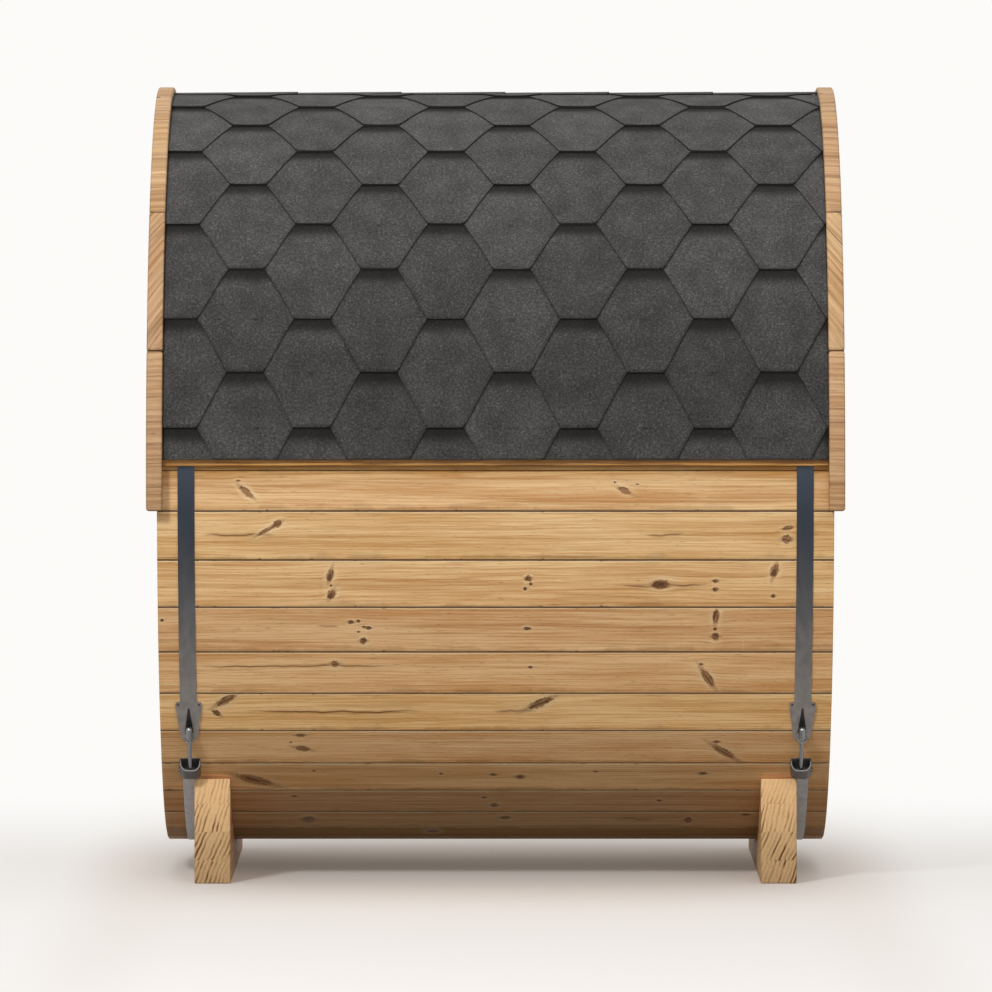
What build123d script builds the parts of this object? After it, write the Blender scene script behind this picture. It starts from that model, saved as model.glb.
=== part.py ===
from build123d import *
import os
from math import ceil, cos, degrees, hypot, radians, sin, sqrt, tan

# Barrel sauna: coopered staves held by two steel hoops, on two cradles, under a curved shingle roof.
# X runs along the barrel with the door end at +X, Z is up and the ground is at Z zero.
# Left and right are as seen from the door, so the left side is at -Y.
# Lengths are in millimetres and angles in degrees.

# Fits that several pieces share
seat_gap = 0.1
joint_gap = 0.3
cut_overrun = 30.0

# Barrel of staves, with a round tongue along one edge and a matching cove along the other
stave_count = 48
barrel_radius = 950.0
barrel_length = 1693.0
barrel_clearance = 72.0
stave_thickness = 42.0
stave_arris = 2.0
bead_width = 20.0
bead_height = 6.0

# End walls of upright boards, let into a groove near the ends of the staves
wall_thickness = 42.0
wall_recess = 70.0
groove_depth = 12.0
wall_board = 116.0
seam_width = 5.0
seam_depth = 3.0

# Doorway in the front wall, with its frame, leaf, hinges and handle
doorway_width = 640.0
doorway_rim = 67.0
frame_width = 36.0
frame_proud = 8.0
door_gap = 4.0
door_thickness = 38.0
door_board = 112.0
hinge_height = 100.0
hinge_reach = 28.0
hinge_plate = 3.0
knuckle_radius = 7.0
hinge_inset = 230.0
handle_length = 420.0
handle_width = 32.0
handle_stand_off = 24.0
handle_grip = 28.0
handle_inset = 70.0
handle_round = 8.0

# Steel hoops, each in an upper and a lower band
strap_width = 42.0
strap_thickness = 1.5
strap_inset = 73.0
tensioner_angle = -45.5

# Anchor plate on each end of an upper band, flush with it, with a teardrop hole and a bent-out tab below the hole
plate_start = 43.0
plate_length = 126.0
plate_top_width = 69.0
plate_end_width = 42.0
plate_thickness = 1.6
plate_lift = 0.4
plate_corner = 10.0
strap_overlap = 20.0
ear_hole_radius = 3.0
ear_hole_inset = 8.0
tab_offset = 57.0
tab_width = 26.0
tab_thickness = 4.0
tab_reach = 28.0
teardrop_radius = 10.5
teardrop_tip_radius = 2.5
teardrop_length = 86.0

# Threaded rod with a domed nut above and a plain nut below
rod_radius = 5.0
rod_clearance = 0.5
rod_height = 16.0
nut_width = 17.0
nut_height = 8.0
cap_nut_height = 22.0
dome_radius = 7.5

# Open-topped bracket on each end of a lower band
bracket_drop = 79.0
bracket_width = 52.0
bracket_back_height = 49.0
bracket_front_height = 30.0
bracket_depth = 28.0
bracket_sheet = 3.0
bracket_floor_height = 12.0
bracket_corner = 18.0
bracket_back_corner = 8.0
bracket_base = 1.2
rivet_radius = 5.0
rivet_length = 4.0

# Roof: lengthwise battens on the hoops, a bent deck, hexagonal shingles and a ridge cap
roof_edge_angle = 4.0
batten_count = 13
batten_width = 40.0
batten_thickness = 16.0
eaves_show = 15.0
deck_thickness = 9.0
shingle_thickness = 3.0
shingle_lap_gap = 0.15
shingle_exposure = 140.5
shingle_headlap = 20.0
shingle_pitch = 333.3
shingle_tip_width = 93.0
shingle_shift = 41.5
starter_show = 78.3
ridge_cap_width = 136.0

# Arched trim at both ends of the roof, sawn from boards
arch_segments = 8
arch_thickness = 40.0
arch_height = 50.0
arch_overhang = 25.5
arch_drop_angle = 3.46
arch_round = 4.0

# Cradles
cradle_thickness = 91.0
cradle_clearance = 14.8
cradle_inset = 82.0
cradle_land = 19.0
cradle_round = 3.0

# Places that follow from the sizes above
half_length = barrel_length / 2
axis_height = barrel_radius + barrel_clearance
barrel_axis = Axis((0, 0, axis_height), (1, 0, 0))
stave_angle = 360 / stave_count
half_stave = radians(stave_angle / 2)
stave_outer = barrel_radius * cos(half_stave)
stave_inner = stave_outer - stave_thickness
groove_radius = stave_inner + groove_depth
wall_radius = groove_radius - joint_gap
front_wall_face = half_length - wall_recess
front_wall_back = front_wall_face - wall_thickness
strap_x = half_length - strap_inset
strap_inner = barrel_radius + seat_gap
strap_outer = strap_inner + strap_thickness
batten_base = strap_outer + seat_gap
batten_top = batten_base + batten_thickness
deck_inner = hypot(batten_top, batten_width / 2) + seat_gap
deck_outer = deck_inner + deck_thickness
shingle_base = deck_outer + seat_gap
arch_inner = barrel_radius + joint_gap
arch_outer = arch_inner + arch_height
arch_far = half_length + arch_overhang
arch_near = arch_far - arch_thickness
roof_half = arch_near - joint_gap
ridge_angle = 90.0
os.makedirs("parts", exist_ok=True)


def keep(builder, name):
    builder.part.label = name
    export_step(builder.part, f"parts/{name}.step")


def polar(radius, angle):
    """Point (Y, Z) of the cross-section; the angle runs from level on the left side, up over the top."""
    return (-radius * cos(radians(angle)), axis_height + radius * sin(radians(angle)))


def surface_plane(x, radius, angle):
    """Plane that touches a cylinder about the barrel's axis: x along the barrel, y up the side, z outward."""
    y, z = polar(radius, angle)
    outward = (0, -cos(radians(angle)), sin(radians(angle)))
    return Plane(origin=(x, y, z), x_dir=(1, 0, 0), z_dir=outward)


def arc_bar(inner, outer, start, end, x_low, x_high):
    """Bar of ring section between two radii and two angles."""
    middle = (start + end) / 2
    with BuildPart() as bar:
        with BuildSketch(Plane.YZ.offset(x_low)):
            with BuildLine():
                ThreePointArc(polar(inner, start), polar(inner, middle), polar(inner, end))
                Line(polar(inner, end), polar(outer, end))
                ThreePointArc(polar(outer, end), polar(outer, middle), polar(outer, start))
                Line(polar(outer, start), polar(inner, start))
            make_face()
        extrude(amount=x_high - x_low)
    return bar.part


def seams(low, high, pitch):
    """Places of the joints between boards of about the given width, evenly spaced between two edges."""
    boards = max(1, round((high - low) / pitch))
    step = (high - low) / boards
    return [low + step * number for number in range(1, boards)]


def stave_half_width(radius):
    """Half the width of a stave at a height above the barrel's axis, less its share of the joint."""
    return radius * tan(half_stave) - joint_gap / 2 / cos(half_stave)


# One stave, at the top of the barrel
bead_middle = (stave_outer + stave_inner) / 2
bead_top = bead_middle + bead_width / 2
bead_bottom = bead_middle - bead_width / 2
cove_top = bead_top + joint_gap
cove_bottom = bead_bottom - joint_gap
bead_out = bead_height * cos(half_stave)
bead_fall = bead_height * sin(half_stave)

stave_plane = Plane(origin=(-half_length, 0, axis_height), x_dir=(0, 1, 0), z_dir=(1, 0, 0))

with BuildPart() as stave:
    with BuildSketch(stave_plane):
        with BuildLine():
            outer_edge = Polyline(
                (-stave_half_width(stave_outer) + stave_arris, stave_outer),
                (stave_half_width(stave_outer) - stave_arris, stave_outer),
                (stave_half_width(stave_outer - stave_arris), stave_outer - stave_arris),
                (stave_half_width(bead_top), bead_top),
            )
            bead = ThreePointArc(
                outer_edge @ 1,
                (stave_half_width(bead_middle) + bead_out, bead_middle - bead_fall),
                (stave_half_width(bead_bottom), bead_bottom),
            )
            inner_edge = Polyline(
                bead @ 1,
                (stave_half_width(stave_inner), stave_inner),
                (-stave_half_width(stave_inner), stave_inner),
                (-stave_half_width(cove_bottom), cove_bottom),
            )
            cove = ThreePointArc(
                inner_edge @ 1,
                (-stave_half_width(bead_middle) + bead_out, bead_middle + bead_fall),
                (-stave_half_width(cove_top), cove_top),
            )
            Polyline(
                cove @ 1,
                (-stave_half_width(stave_outer - stave_arris), stave_outer - stave_arris),
                outer_edge @ 0,
            )
        make_face()
    extrude(amount=barrel_length)
    for wall_middle in (front_wall_back + wall_thickness / 2, -front_wall_back - wall_thickness / 2):
        with Locations((wall_middle, 0, axis_height)):
            Cylinder(
                groove_radius,
                wall_thickness + 2 * joint_gap,
                rotation=(0, 90, 0),
                mode=Mode.SUBTRACT,
            )

# The barrel, as eight groups of staves round from the top over the left side
stave_groups = [
    "top_staves",
    "upper_left_staves",
    "left_staves",
    "lower_left_staves",
    "floor_staves",
    "lower_right_staves",
    "right_staves",
    "upper_right_staves",
]
group_size = stave_count / len(stave_groups)
first_stave = round(group_size / 2)

for group, group_name in enumerate(stave_groups):
    with BuildPart() as stave_group:
        for number in range(round(group * group_size), round((group + 1) * group_size)):
            add(stave.part.rotate(barrel_axis, (number - first_stave) * stave_angle))
    keep(stave_group, group_name)


def wall_piece(x_low, y_low, y_high, z_low, z_high, board_seams):
    """Part of a round end wall inside a rectangle, with the joints of its boards on both faces."""
    with BuildPart() as piece:
        with BuildSketch(Plane.YZ.offset(x_low)):
            with Locations((0, axis_height)):
                Circle(wall_radius)
            with Locations(((y_low + y_high) / 2, (z_low + z_high) / 2)):
                Rectangle(y_high - y_low, z_high - z_low, mode=Mode.INTERSECT)
        extrude(amount=wall_thickness)
        with BuildSketch(Plane.XY.offset(axis_height - wall_radius)):
            for face, inward in ((x_low, seam_depth), (x_low + wall_thickness, -seam_depth)):
                for y in board_seams:
                    Polygon(
                        (face, y - seam_width / 2),
                        (face + inward, y),
                        (face, y + seam_width / 2),
                        align=None,
                    )
        extrude(amount=2 * wall_radius, mode=Mode.SUBTRACT)
    return piece


# Front wall, split beside, over and under the doorway, and the plain rear wall
doorway_side = doorway_width / 2
doorway_half_height = sqrt((stave_inner - doorway_rim) ** 2 - doorway_side**2)
doorway_top = axis_height + doorway_half_height
doorway_bottom = axis_height - doorway_half_height
wall_top = axis_height + wall_radius
wall_bottom = axis_height - wall_radius
side_seams = seams(doorway_side, wall_radius, wall_board)
door_seams = seams(-doorway_side, doorway_side, wall_board)

front_wall = {
    "front_wall_left": (-wall_radius, -doorway_side, wall_bottom, wall_top, [-y for y in side_seams]),
    "front_wall_right": (doorway_side, wall_radius, wall_bottom, wall_top, side_seams),
    "front_wall_head": (-doorway_side, doorway_side, doorway_top, wall_top, door_seams),
    "front_wall_sill": (-doorway_side, doorway_side, wall_bottom, doorway_bottom, door_seams),
}
for wall_name, extent in front_wall.items():
    keep(wall_piece(front_wall_back, *extent), wall_name)

rear_seams = seams(-wall_radius, wall_radius, wall_board)
rear_wall = wall_piece(-front_wall_face, -wall_radius, wall_radius, wall_bottom, wall_top, rear_seams)
keep(rear_wall, "rear_wall")

# Door frame: two jambs with a head and a threshold between them
frame_depth = wall_thickness + 2 * frame_proud
frame_middle = front_wall_back + wall_thickness / 2
rail_length = doorway_width - 2 * frame_width - 2 * joint_gap
jamb_y = doorway_side - frame_width / 2
rail_z = doorway_half_height - frame_width / 2

with BuildPart() as door_frame:
    with Locations((frame_middle, -jamb_y, axis_height), (frame_middle, jamb_y, axis_height)):
        Box(frame_depth, frame_width, 2 * doorway_half_height)
    with Locations((frame_middle, 0, axis_height - rail_z), (frame_middle, 0, axis_height + rail_z)):
        Box(frame_depth, rail_length, frame_width)
keep(door_frame, "door_frame")

# Door leaf of upright boards, flush with the outside of its frame
leaf_width = doorway_width - 2 * frame_width - 2 * door_gap
leaf_height = 2 * (doorway_half_height - frame_width - door_gap)
leaf_face = front_wall_face + frame_proud
leaf_bottom = axis_height - leaf_height / 2

with BuildPart() as door_leaf:
    with Locations((leaf_face - door_thickness / 2, 0, axis_height)):
        Box(door_thickness, leaf_width, leaf_height)
    with BuildSketch(Plane.XY.offset(leaf_bottom)):
        for seam_y in seams(-leaf_width / 2, leaf_width / 2, door_board):
            Polygon(
                (leaf_face, seam_y - seam_width / 2),
                (leaf_face - seam_depth, seam_y),
                (leaf_face, seam_y + seam_width / 2),
                align=None,
            )
    extrude(amount=leaf_height, mode=Mode.SUBTRACT)
keep(door_leaf, "door_leaf")

# Two hinges across the gap on the right side of the door, and a wooden pull on its left side
hinge_y = leaf_width / 2 + door_gap / 2
hinge_rise = leaf_height / 2 - hinge_inset
hinge_places = [axis_height - hinge_rise, axis_height + hinge_rise]

with BuildPart() as door_hinges:
    for hinge_z in hinge_places:
        with Locations((leaf_face + seat_gap + hinge_plate / 2, hinge_y, hinge_z)):
            Box(hinge_plate, 2 * hinge_reach, hinge_height)
        with Locations((leaf_face + seat_gap + knuckle_radius, hinge_y, hinge_z)):
            Cylinder(knuckle_radius, hinge_height)
keep(door_hinges, "door_hinges")

handle_y = -leaf_width / 2 + handle_inset
handle_start = leaf_face + seat_gap

with BuildPart() as door_handle:
    with BuildSketch(Plane.XZ.offset(-handle_y)):
        with Locations((handle_start + handle_stand_off + handle_grip / 2, axis_height)):
            RectangleRounded(handle_grip, handle_length, handle_round)
        foot_reach = handle_stand_off + handle_grip / 2
        foot_rise = handle_length / 2 - handle_width
        with Locations(
            (handle_start + foot_reach / 2, axis_height - foot_rise),
            (handle_start + foot_reach / 2, axis_height + foot_rise),
        ):
            Rectangle(foot_reach, handle_width)
    extrude(amount=handle_width / 2, both=True)
keep(door_handle, "door_handle")

# Anchor plate on the left end of the front upper band
tension_plane = surface_plane(strap_x, barrel_radius, tensioner_angle)


def side_angle(height):
    """Angle of the point on the barrel at a height up the side from the middle of a tensioner."""
    return tensioner_angle + degrees(height / barrel_radius)


plate_end = plate_start + plate_length
plate_plane = surface_plane(strap_x, strap_inner, side_angle((plate_start + plate_end) / 2))
plate_half = plate_length / 2
plate_inner = strap_inner + plate_lift
tab_base = sqrt((plate_inner + plate_thickness / 2) ** 2 - tab_offset**2) - barrel_radius
tab_plane = Plane(
    origin=tension_plane.from_local_coords((0, tab_offset, 0)),
    x_dir=tension_plane.x_dir,
    z_dir=tension_plane.y_dir,
)
teardrop_start = tab_offset + tab_thickness - plate_start - plate_half + teardrop_radius
teardrop_end = teardrop_start + teardrop_length - teardrop_radius
ear_x = plate_top_width / 2 - ear_hole_inset
ear_y = plate_half - ear_hole_inset

with BuildPart() as anchor:
    add(
        arc_bar(
            plate_inner,
            plate_inner + plate_thickness,
            side_angle(plate_start),
            side_angle(plate_end),
            strap_x - plate_top_width / 2,
            strap_x + plate_top_width / 2,
        )
    )
    with BuildSketch(plate_plane):
        with BuildLine():
            Polyline(
                (-plate_end_width / 2, -plate_half),
                (plate_end_width / 2, -plate_half),
                (plate_top_width / 2, plate_half),
                (-plate_top_width / 2, plate_half),
                close=True,
            )
        plate_outline = make_face()
        fillet(plate_outline.vertices(), radius=plate_corner)
    extrude(amount=cut_overrun, both=True, mode=Mode.INTERSECT)
    with BuildSketch(plate_plane):
        with Locations((0, teardrop_start)):
            Circle(teardrop_radius)
        with Locations((0, teardrop_end)):
            Circle(teardrop_tip_radius)
        make_hull()
        with Locations((-ear_x, ear_y), (ear_x, ear_y)):
            Circle(ear_hole_radius)
    extrude(amount=cut_overrun, both=True, mode=Mode.SUBTRACT)
    with BuildSketch(tab_plane):
        with Locations((0, -(tab_base + tab_reach - tab_width / 2) / 2 - tab_base / 2)):
            Rectangle(tab_width, tab_reach - tab_width / 2 - tab_base)
        with Locations((0, -(tab_reach - tab_width / 2))):
            Circle(tab_width / 2)
        with Locations((0, -rod_height)):
            Circle(rod_radius + rod_clearance, mode=Mode.SUBTRACT)
    extrude(amount=tab_thickness)

# Upper bands run under the roof from plate to plate, lower bands under the barrel from bracket to bracket
upper_strap_end = side_angle(plate_end - strap_overlap)
lower_strap_end = side_angle(bracket_back_height - bracket_drop)
strap_low, strap_high = strap_x - strap_width / 2, strap_x + strap_width / 2

with BuildPart() as front_upper_strap:
    add(arc_bar(strap_inner, strap_outer, upper_strap_end, 180 - upper_strap_end, strap_low, strap_high))
    add(anchor.part)
    add(anchor.part.mirror(Plane.XZ))
keep(front_upper_strap, "front_upper_strap")

with BuildPart() as rear_upper_strap:
    add(front_upper_strap.part.mirror(Plane.YZ))
keep(rear_upper_strap, "rear_upper_strap")

with BuildPart() as front_lower_strap:
    add(arc_bar(strap_inner, strap_outer, -180 - lower_strap_end, lower_strap_end, strap_low, strap_high))
keep(front_lower_strap, "front_lower_strap")

with BuildPart() as rear_lower_strap:
    add(front_lower_strap.part.mirror(Plane.YZ))
keep(rear_lower_strap, "rear_lower_strap")

# Rod of a tensioner, in the frame of its tension plane: y up the side, z outward
floor_under = bracket_floor_height - bracket_drop
nut_base = tab_offset + tab_thickness + seat_gap
rod_low = floor_under - seat_gap - nut_height
rod_length = nut_base + cap_nut_height - rod_low
nut_radius = nut_width / sqrt(3)

with BuildPart() as rod_form:
    with BuildSketch(Plane.XZ.offset(-rod_low)):
        with Locations((0, rod_height)):
            Circle(rod_radius)
    extrude(amount=-rod_length)
    for nut_start, nut_rise in ((rod_low, nut_height), (nut_base, cap_nut_height)):
        with BuildSketch(Plane.XZ.offset(-nut_start)):
            with Locations((0, rod_height)):
                RegularPolygon(nut_radius, 6)
        extrude(amount=-nut_rise)
    with Locations((0, nut_base + cap_nut_height, rod_height)):
        Sphere(dome_radius)

# Bracket of a tensioner: a round-fronted pocket, open at the top and cut away towards the front
bracket_bottom = -bracket_drop
bracket_top = bracket_bottom + bracket_back_height
bracket_lip = bracket_bottom + bracket_front_height
bracket_front = bracket_base + bracket_depth
pocket_width = bracket_width - 2 * bracket_sheet
pocket_depth = bracket_depth - 2 * bracket_sheet
pocket_floor = floor_under + bracket_sheet
pocket_middle = bracket_base + bracket_depth / 2

with BuildPart() as bracket_form:
    with BuildSketch(Plane.XZ.offset(-bracket_bottom)) as bracket_plan:
        with Locations((0, pocket_middle)):
            Rectangle(bracket_width, bracket_depth)
        fillet(bracket_plan.vertices().group_by(Axis.Y)[-1], radius=bracket_corner)
    extrude(amount=-bracket_back_height)
    for pocket_start, pocket_end in ((bracket_bottom, floor_under), (pocket_floor, bracket_top)):
        with BuildSketch(Plane.XZ.offset(-pocket_start)) as pocket_plan:
            with Locations((0, pocket_middle)):
                Rectangle(pocket_width, pocket_depth)
            fillet(pocket_plan.vertices().group_by(Axis.Y)[-1], radius=bracket_corner - bracket_sheet)
        extrude(amount=pocket_start - pocket_end, mode=Mode.SUBTRACT)
    with BuildSketch(Plane.XZ.offset(-bracket_bottom)):
        with Locations((0, rod_height)):
            Circle(rod_radius + rod_clearance)
    extrude(amount=-bracket_back_height, mode=Mode.SUBTRACT)
    with BuildSketch(Plane.YZ.offset(-bracket_width)):
        Polygon(
            (bracket_top, bracket_base + bracket_sheet),
            (bracket_lip, bracket_front),
            (bracket_lip, bracket_front + cut_overrun),
            (bracket_top + cut_overrun, bracket_front + cut_overrun),
            (bracket_top + cut_overrun, bracket_base + bracket_sheet),
            align=None,
        )
    extrude(amount=2 * bracket_width, mode=Mode.SUBTRACT)
    with BuildSketch(Plane.XY) as back_outline:
        with Locations((0, bracket_bottom + bracket_back_height / 2)):
            Rectangle(bracket_width, bracket_back_height)
        fillet(back_outline.vertices().group_by(Axis.Y)[-1], radius=bracket_back_corner)
    extrude(amount=bracket_front + cut_overrun, mode=Mode.INTERSECT)
    with BuildSketch(Plane.YZ.offset(bracket_width / 2)):
        with Locations((bracket_bottom + 2 * rivet_radius, bracket_base + rivet_radius)):
            Circle(rivet_radius)
    extrude(amount=rivet_length)


def at_corner(form, end, side):
    """A tensioner piece put in place on one side of one hoop."""
    placed = form.part.moved(tension_plane.location)
    if side == "right":
        placed = placed.mirror(Plane.XZ)
    if end == "rear":
        placed = placed.mirror(Plane.YZ)
    return placed


for hoop_end in ("front", "rear"):
    for hoop_side in ("left", "right"):
        for form, word in ((rod_form, "tension_rod"), (bracket_form, "strap_bracket")):
            with BuildPart() as tensioner_piece:
                add(at_corner(form, hoop_end, hoop_side))
            keep(tensioner_piece, f"{hoop_end}_{hoop_side}_{word}")

# Battens along the roof; the lowest on each side shows below the shingles
first_batten = roof_edge_angle + degrees((batten_width / 2 - eaves_show) / batten_top)
batten_step = (180 - 2 * first_batten) / (batten_count - 1)
batten_angles = [first_batten + batten_step * number for number in range(batten_count)]

with BuildPart() as batten:
    with Locations((0, 0, axis_height + batten_base + batten_thickness / 2)):
        Box(2 * roof_half, batten_width, batten_thickness)

batten_groups = {
    "eaves_batten_left": batten_angles[:1],
    "roof_battens": batten_angles[1:-1],
    "eaves_batten_right": batten_angles[-1:],
}
for batten_name, angles in batten_groups.items():
    with BuildPart() as battens:
        for angle in angles:
            add(batten.part.rotate(barrel_axis, ridge_angle - angle))
    keep(battens, batten_name)

# Bent deck panels, jointed on the battens
panel_trim = degrees(joint_gap / deck_outer)
panel_joints = [roof_edge_angle] + batten_angles[1:-1] + [180 - roof_edge_angle]
panels = list(zip(panel_joints[:-1], panel_joints[1:]))
half_panels = len(panels) // 2

for deck_name, deck_panels in (
    ("roof_deck_left", panels[:half_panels]),
    ("roof_deck_right", panels[half_panels:]),
):
    with BuildPart() as deck:
        for start, end in deck_panels:
            add(arc_bar(deck_inner, deck_outer, start + panel_trim, end - panel_trim, -roof_half, roof_half))
    keep(deck, deck_name)

# Shingle courses: each slopes up onto the course below it and hangs in hexagonal tabs
exposure_angle = degrees(shingle_exposure / deck_outer)
course_angle = 2 * exposure_angle + degrees(shingle_headlap / deck_outer)
lap_step = shingle_thickness + shingle_lap_gap
first_tip = roof_edge_angle + degrees(starter_show / deck_outer)
course_top_limit = ridge_angle - degrees(joint_gap / deck_outer)
course_count = ceil((course_top_limit - first_tip) / exposure_angle)
tab_count = ceil(roof_half / shingle_pitch) + 1


def course_radius(tip, angle):
    """Radius of the underside of a course whose tabs end at the tip angle."""
    return shingle_base + lap_step * (tip + course_angle - angle) / exposure_angle


def shingle_course(tip, tab_shift, tabbed):
    """One course on the left side, cut off at the eaves and at the ridge."""
    low = max(tip, roof_edge_angle)
    high = min(tip + course_angle, course_top_limit)
    middle = (low + high) / 2
    under = [polar(course_radius(tip, a), a) for a in (low, middle, high)]
    over = [polar(course_radius(tip, a) + shingle_thickness, a) for a in (low, middle, high)]
    with BuildPart() as course:
        with BuildSketch(Plane.YZ.offset(-roof_half)):
            with BuildLine():
                ThreePointArc(*under)
                Line(under[-1], over[-1])
                ThreePointArc(*over[::-1])
                Line(over[0], under[0])
            make_face()
        extrude(amount=2 * roof_half)
        if tabbed:
            with BuildSketch(surface_plane(0, deck_outer, tip + exposure_angle / 2)):
                for number in range(-tab_count, tab_count + 1):
                    notch_x = tab_shift + shingle_pitch * (number + 1 / 2)
                    mouth = (shingle_pitch - shingle_tip_width) / 2
                    rise = shingle_exposure / 2
                    Polygon(
                        (notch_x - mouth, -rise - cut_overrun),
                        (notch_x + mouth, -rise - cut_overrun),
                        (notch_x + mouth, -rise),
                        (notch_x + shingle_tip_width / 2, rise),
                        (notch_x - shingle_tip_width / 2, rise),
                        (notch_x - mouth, -rise),
                        align=None,
                    )
            extrude(amount=cut_overrun, both=True, mode=Mode.SUBTRACT)
    return course.part


course_tips = [first_tip + exposure_angle * (number - 2) for number in range(course_count + 2)]

with BuildPart() as shingles_left:
    for number, tip in enumerate(course_tips):
        tab_shift = shingle_shift + shingle_pitch / 2 * ((number + 1) % 2)
        add(shingle_course(tip, tab_shift, tabbed=number > 0))
keep(shingles_left, "shingles_left")

with BuildPart() as shingles_right:
    add(shingles_left.part.mirror(Plane.XZ))
keep(shingles_right, "shingles_right")

# Ridge cap over the two top courses
cap_reach = degrees(ridge_cap_width / 2 / deck_outer)
cap_low = ridge_angle - cap_reach
cap_inner = course_radius(course_tips[-1], cap_low) + shingle_thickness + seat_gap

with BuildPart() as ridge_cap:
    add(
        arc_bar(
            cap_inner,
            cap_inner + shingle_thickness,
            cap_low,
            ridge_angle + cap_reach,
            -roof_half,
            roof_half,
        )
    )
keep(ridge_cap, "ridge_cap")

# Arched trim, in eight sawn segments at each end
segment_angle = (180 + 2 * arch_drop_angle) / arch_segments
segment_trim = degrees(joint_gap / 2 / arch_outer)


def arch_segment(number):
    """One segment of the front arch, counted up from its left end, with the outer edges rounded."""
    start = segment_angle * number - arch_drop_angle
    with BuildPart() as segment:
        add(
            arc_bar(
                arch_inner,
                arch_outer,
                start + segment_trim,
                start + segment_angle - segment_trim,
                arch_near,
                arch_far,
            )
        )
        outer_face = segment.faces().filter_by(GeomType.CYLINDER).sort_by(SortBy.AREA)[-1]
        fillet(outer_face.edges(), radius=arch_round)
    return segment.part


with BuildPart() as front_arch_left:
    for number in range(arch_segments // 2):
        add(arch_segment(number))
keep(front_arch_left, "front_arch_left")

for arch_name, mirrors in (
    ("front_arch_right", [Plane.XZ]),
    ("rear_arch_left", [Plane.YZ]),
    ("rear_arch_right", [Plane.XZ, Plane.YZ]),
):
    with BuildPart() as arch:
        turned = front_arch_left.part
        for mirror_plane in mirrors:
            turned = turned.mirror(mirror_plane)
        add(turned)
    keep(arch, arch_name)

# Cradles: a block hollowed to the barrel, relieved where the hoop passes under it
seat_radius = barrel_radius + joint_gap
relief_radius = strap_outer + joint_gap
cradle_far = half_length - cradle_inset
cradle_near = cradle_far - cradle_thickness
tensioner_slope = radians(-tensioner_angle)
bracket_inner_y = cos(tensioner_slope) * (barrel_radius + bracket_base) - sin(tensioner_slope) * bracket_drop
cradle_half = bracket_inner_y - cradle_clearance
cradle_top = axis_height - sqrt(seat_radius**2 - (cradle_half - cradle_land) ** 2)

with BuildPart() as front_cradle:
    with BuildSketch(Plane.YZ.offset(cradle_near)):
        Rectangle(2 * cradle_half, cradle_top, align=(Align.CENTER, Align.MIN))
        with Locations((0, axis_height)):
            Circle(seat_radius, mode=Mode.SUBTRACT)
    extrude(amount=cradle_thickness)
    end_faces = front_cradle.faces().filter_by(Axis.Y)
    fillet(end_faces.edges(), radius=cradle_round)
    with Locations((strap_x, 0, axis_height)):
        Cylinder(
            relief_radius,
            strap_width + 2 * joint_gap,
            rotation=(0, 90, 0),
            mode=Mode.SUBTRACT,
        )
keep(front_cradle, "front_cradle")

with BuildPart() as rear_cradle:
    add(front_cradle.part.mirror(Plane.YZ))
keep(rear_cradle, "rear_cradle")
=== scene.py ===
import bpy
import functools
import math
import numpy as np
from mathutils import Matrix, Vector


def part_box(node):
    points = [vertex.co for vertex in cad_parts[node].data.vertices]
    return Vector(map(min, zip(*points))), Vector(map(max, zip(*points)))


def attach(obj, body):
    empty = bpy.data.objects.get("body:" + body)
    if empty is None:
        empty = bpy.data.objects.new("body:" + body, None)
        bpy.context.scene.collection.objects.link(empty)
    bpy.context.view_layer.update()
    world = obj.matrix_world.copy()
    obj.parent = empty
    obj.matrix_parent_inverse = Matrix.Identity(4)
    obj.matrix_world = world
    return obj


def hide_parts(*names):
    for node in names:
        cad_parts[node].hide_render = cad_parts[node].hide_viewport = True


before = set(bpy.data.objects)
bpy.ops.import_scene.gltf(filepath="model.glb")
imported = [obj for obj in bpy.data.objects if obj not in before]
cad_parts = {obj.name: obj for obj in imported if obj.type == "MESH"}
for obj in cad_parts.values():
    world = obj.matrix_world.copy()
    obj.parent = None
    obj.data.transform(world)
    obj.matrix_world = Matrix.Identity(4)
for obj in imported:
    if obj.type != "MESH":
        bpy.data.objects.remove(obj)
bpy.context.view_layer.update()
print("frame loaded,", len(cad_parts), "nodes")

scene = bpy.context.scene
scene.view_settings.view_transform = "Standard"

barrel = {
    "axisHeight": 1.022, "radius": 0.950, "halfLength": 0.8465, "staves": 48,
}
ends = (("front", 1), ("rear", -1))
hands = (("left", 1), ("right", -1))


# small helpers

def hexLinear(text):
    # sRGB hex to linear: the two-part sRGB curve turned round
    part = np.array([int(text[at:at + 2], 16) for at in (1, 3, 5)]) / 255
    linear = np.where(part <= 0.04045, part / 12.92, ((part + 0.055) / 1.055) ** 2.4)
    return (*linear.tolist(), 1.0)


# the setting that holds a node's mode
modeNames = {
    "Math": "operation", "VectorMath": "operation", "MapRange": "interpolation_type", "Mix": "data_type",
    "TexNoise": "noise_dimensions", "TexVoronoi": "voronoi_dimensions", "TexWhiteNoise": "noise_dimensions",
}
# the order in which a call gives sockets, where it isn't their own; a colour mix gives its share and two colours
socketNames = {
    "Mix": (0, 6, 7), "TexNoise": ("Vector", "Scale", "Detail", "Roughness"), "TexVoronoi": ("Vector", "Scale"),
    "Bump": ("Height", "Strength", "Distance"), "Mapping": ("Vector", "Scale"),
}


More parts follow.
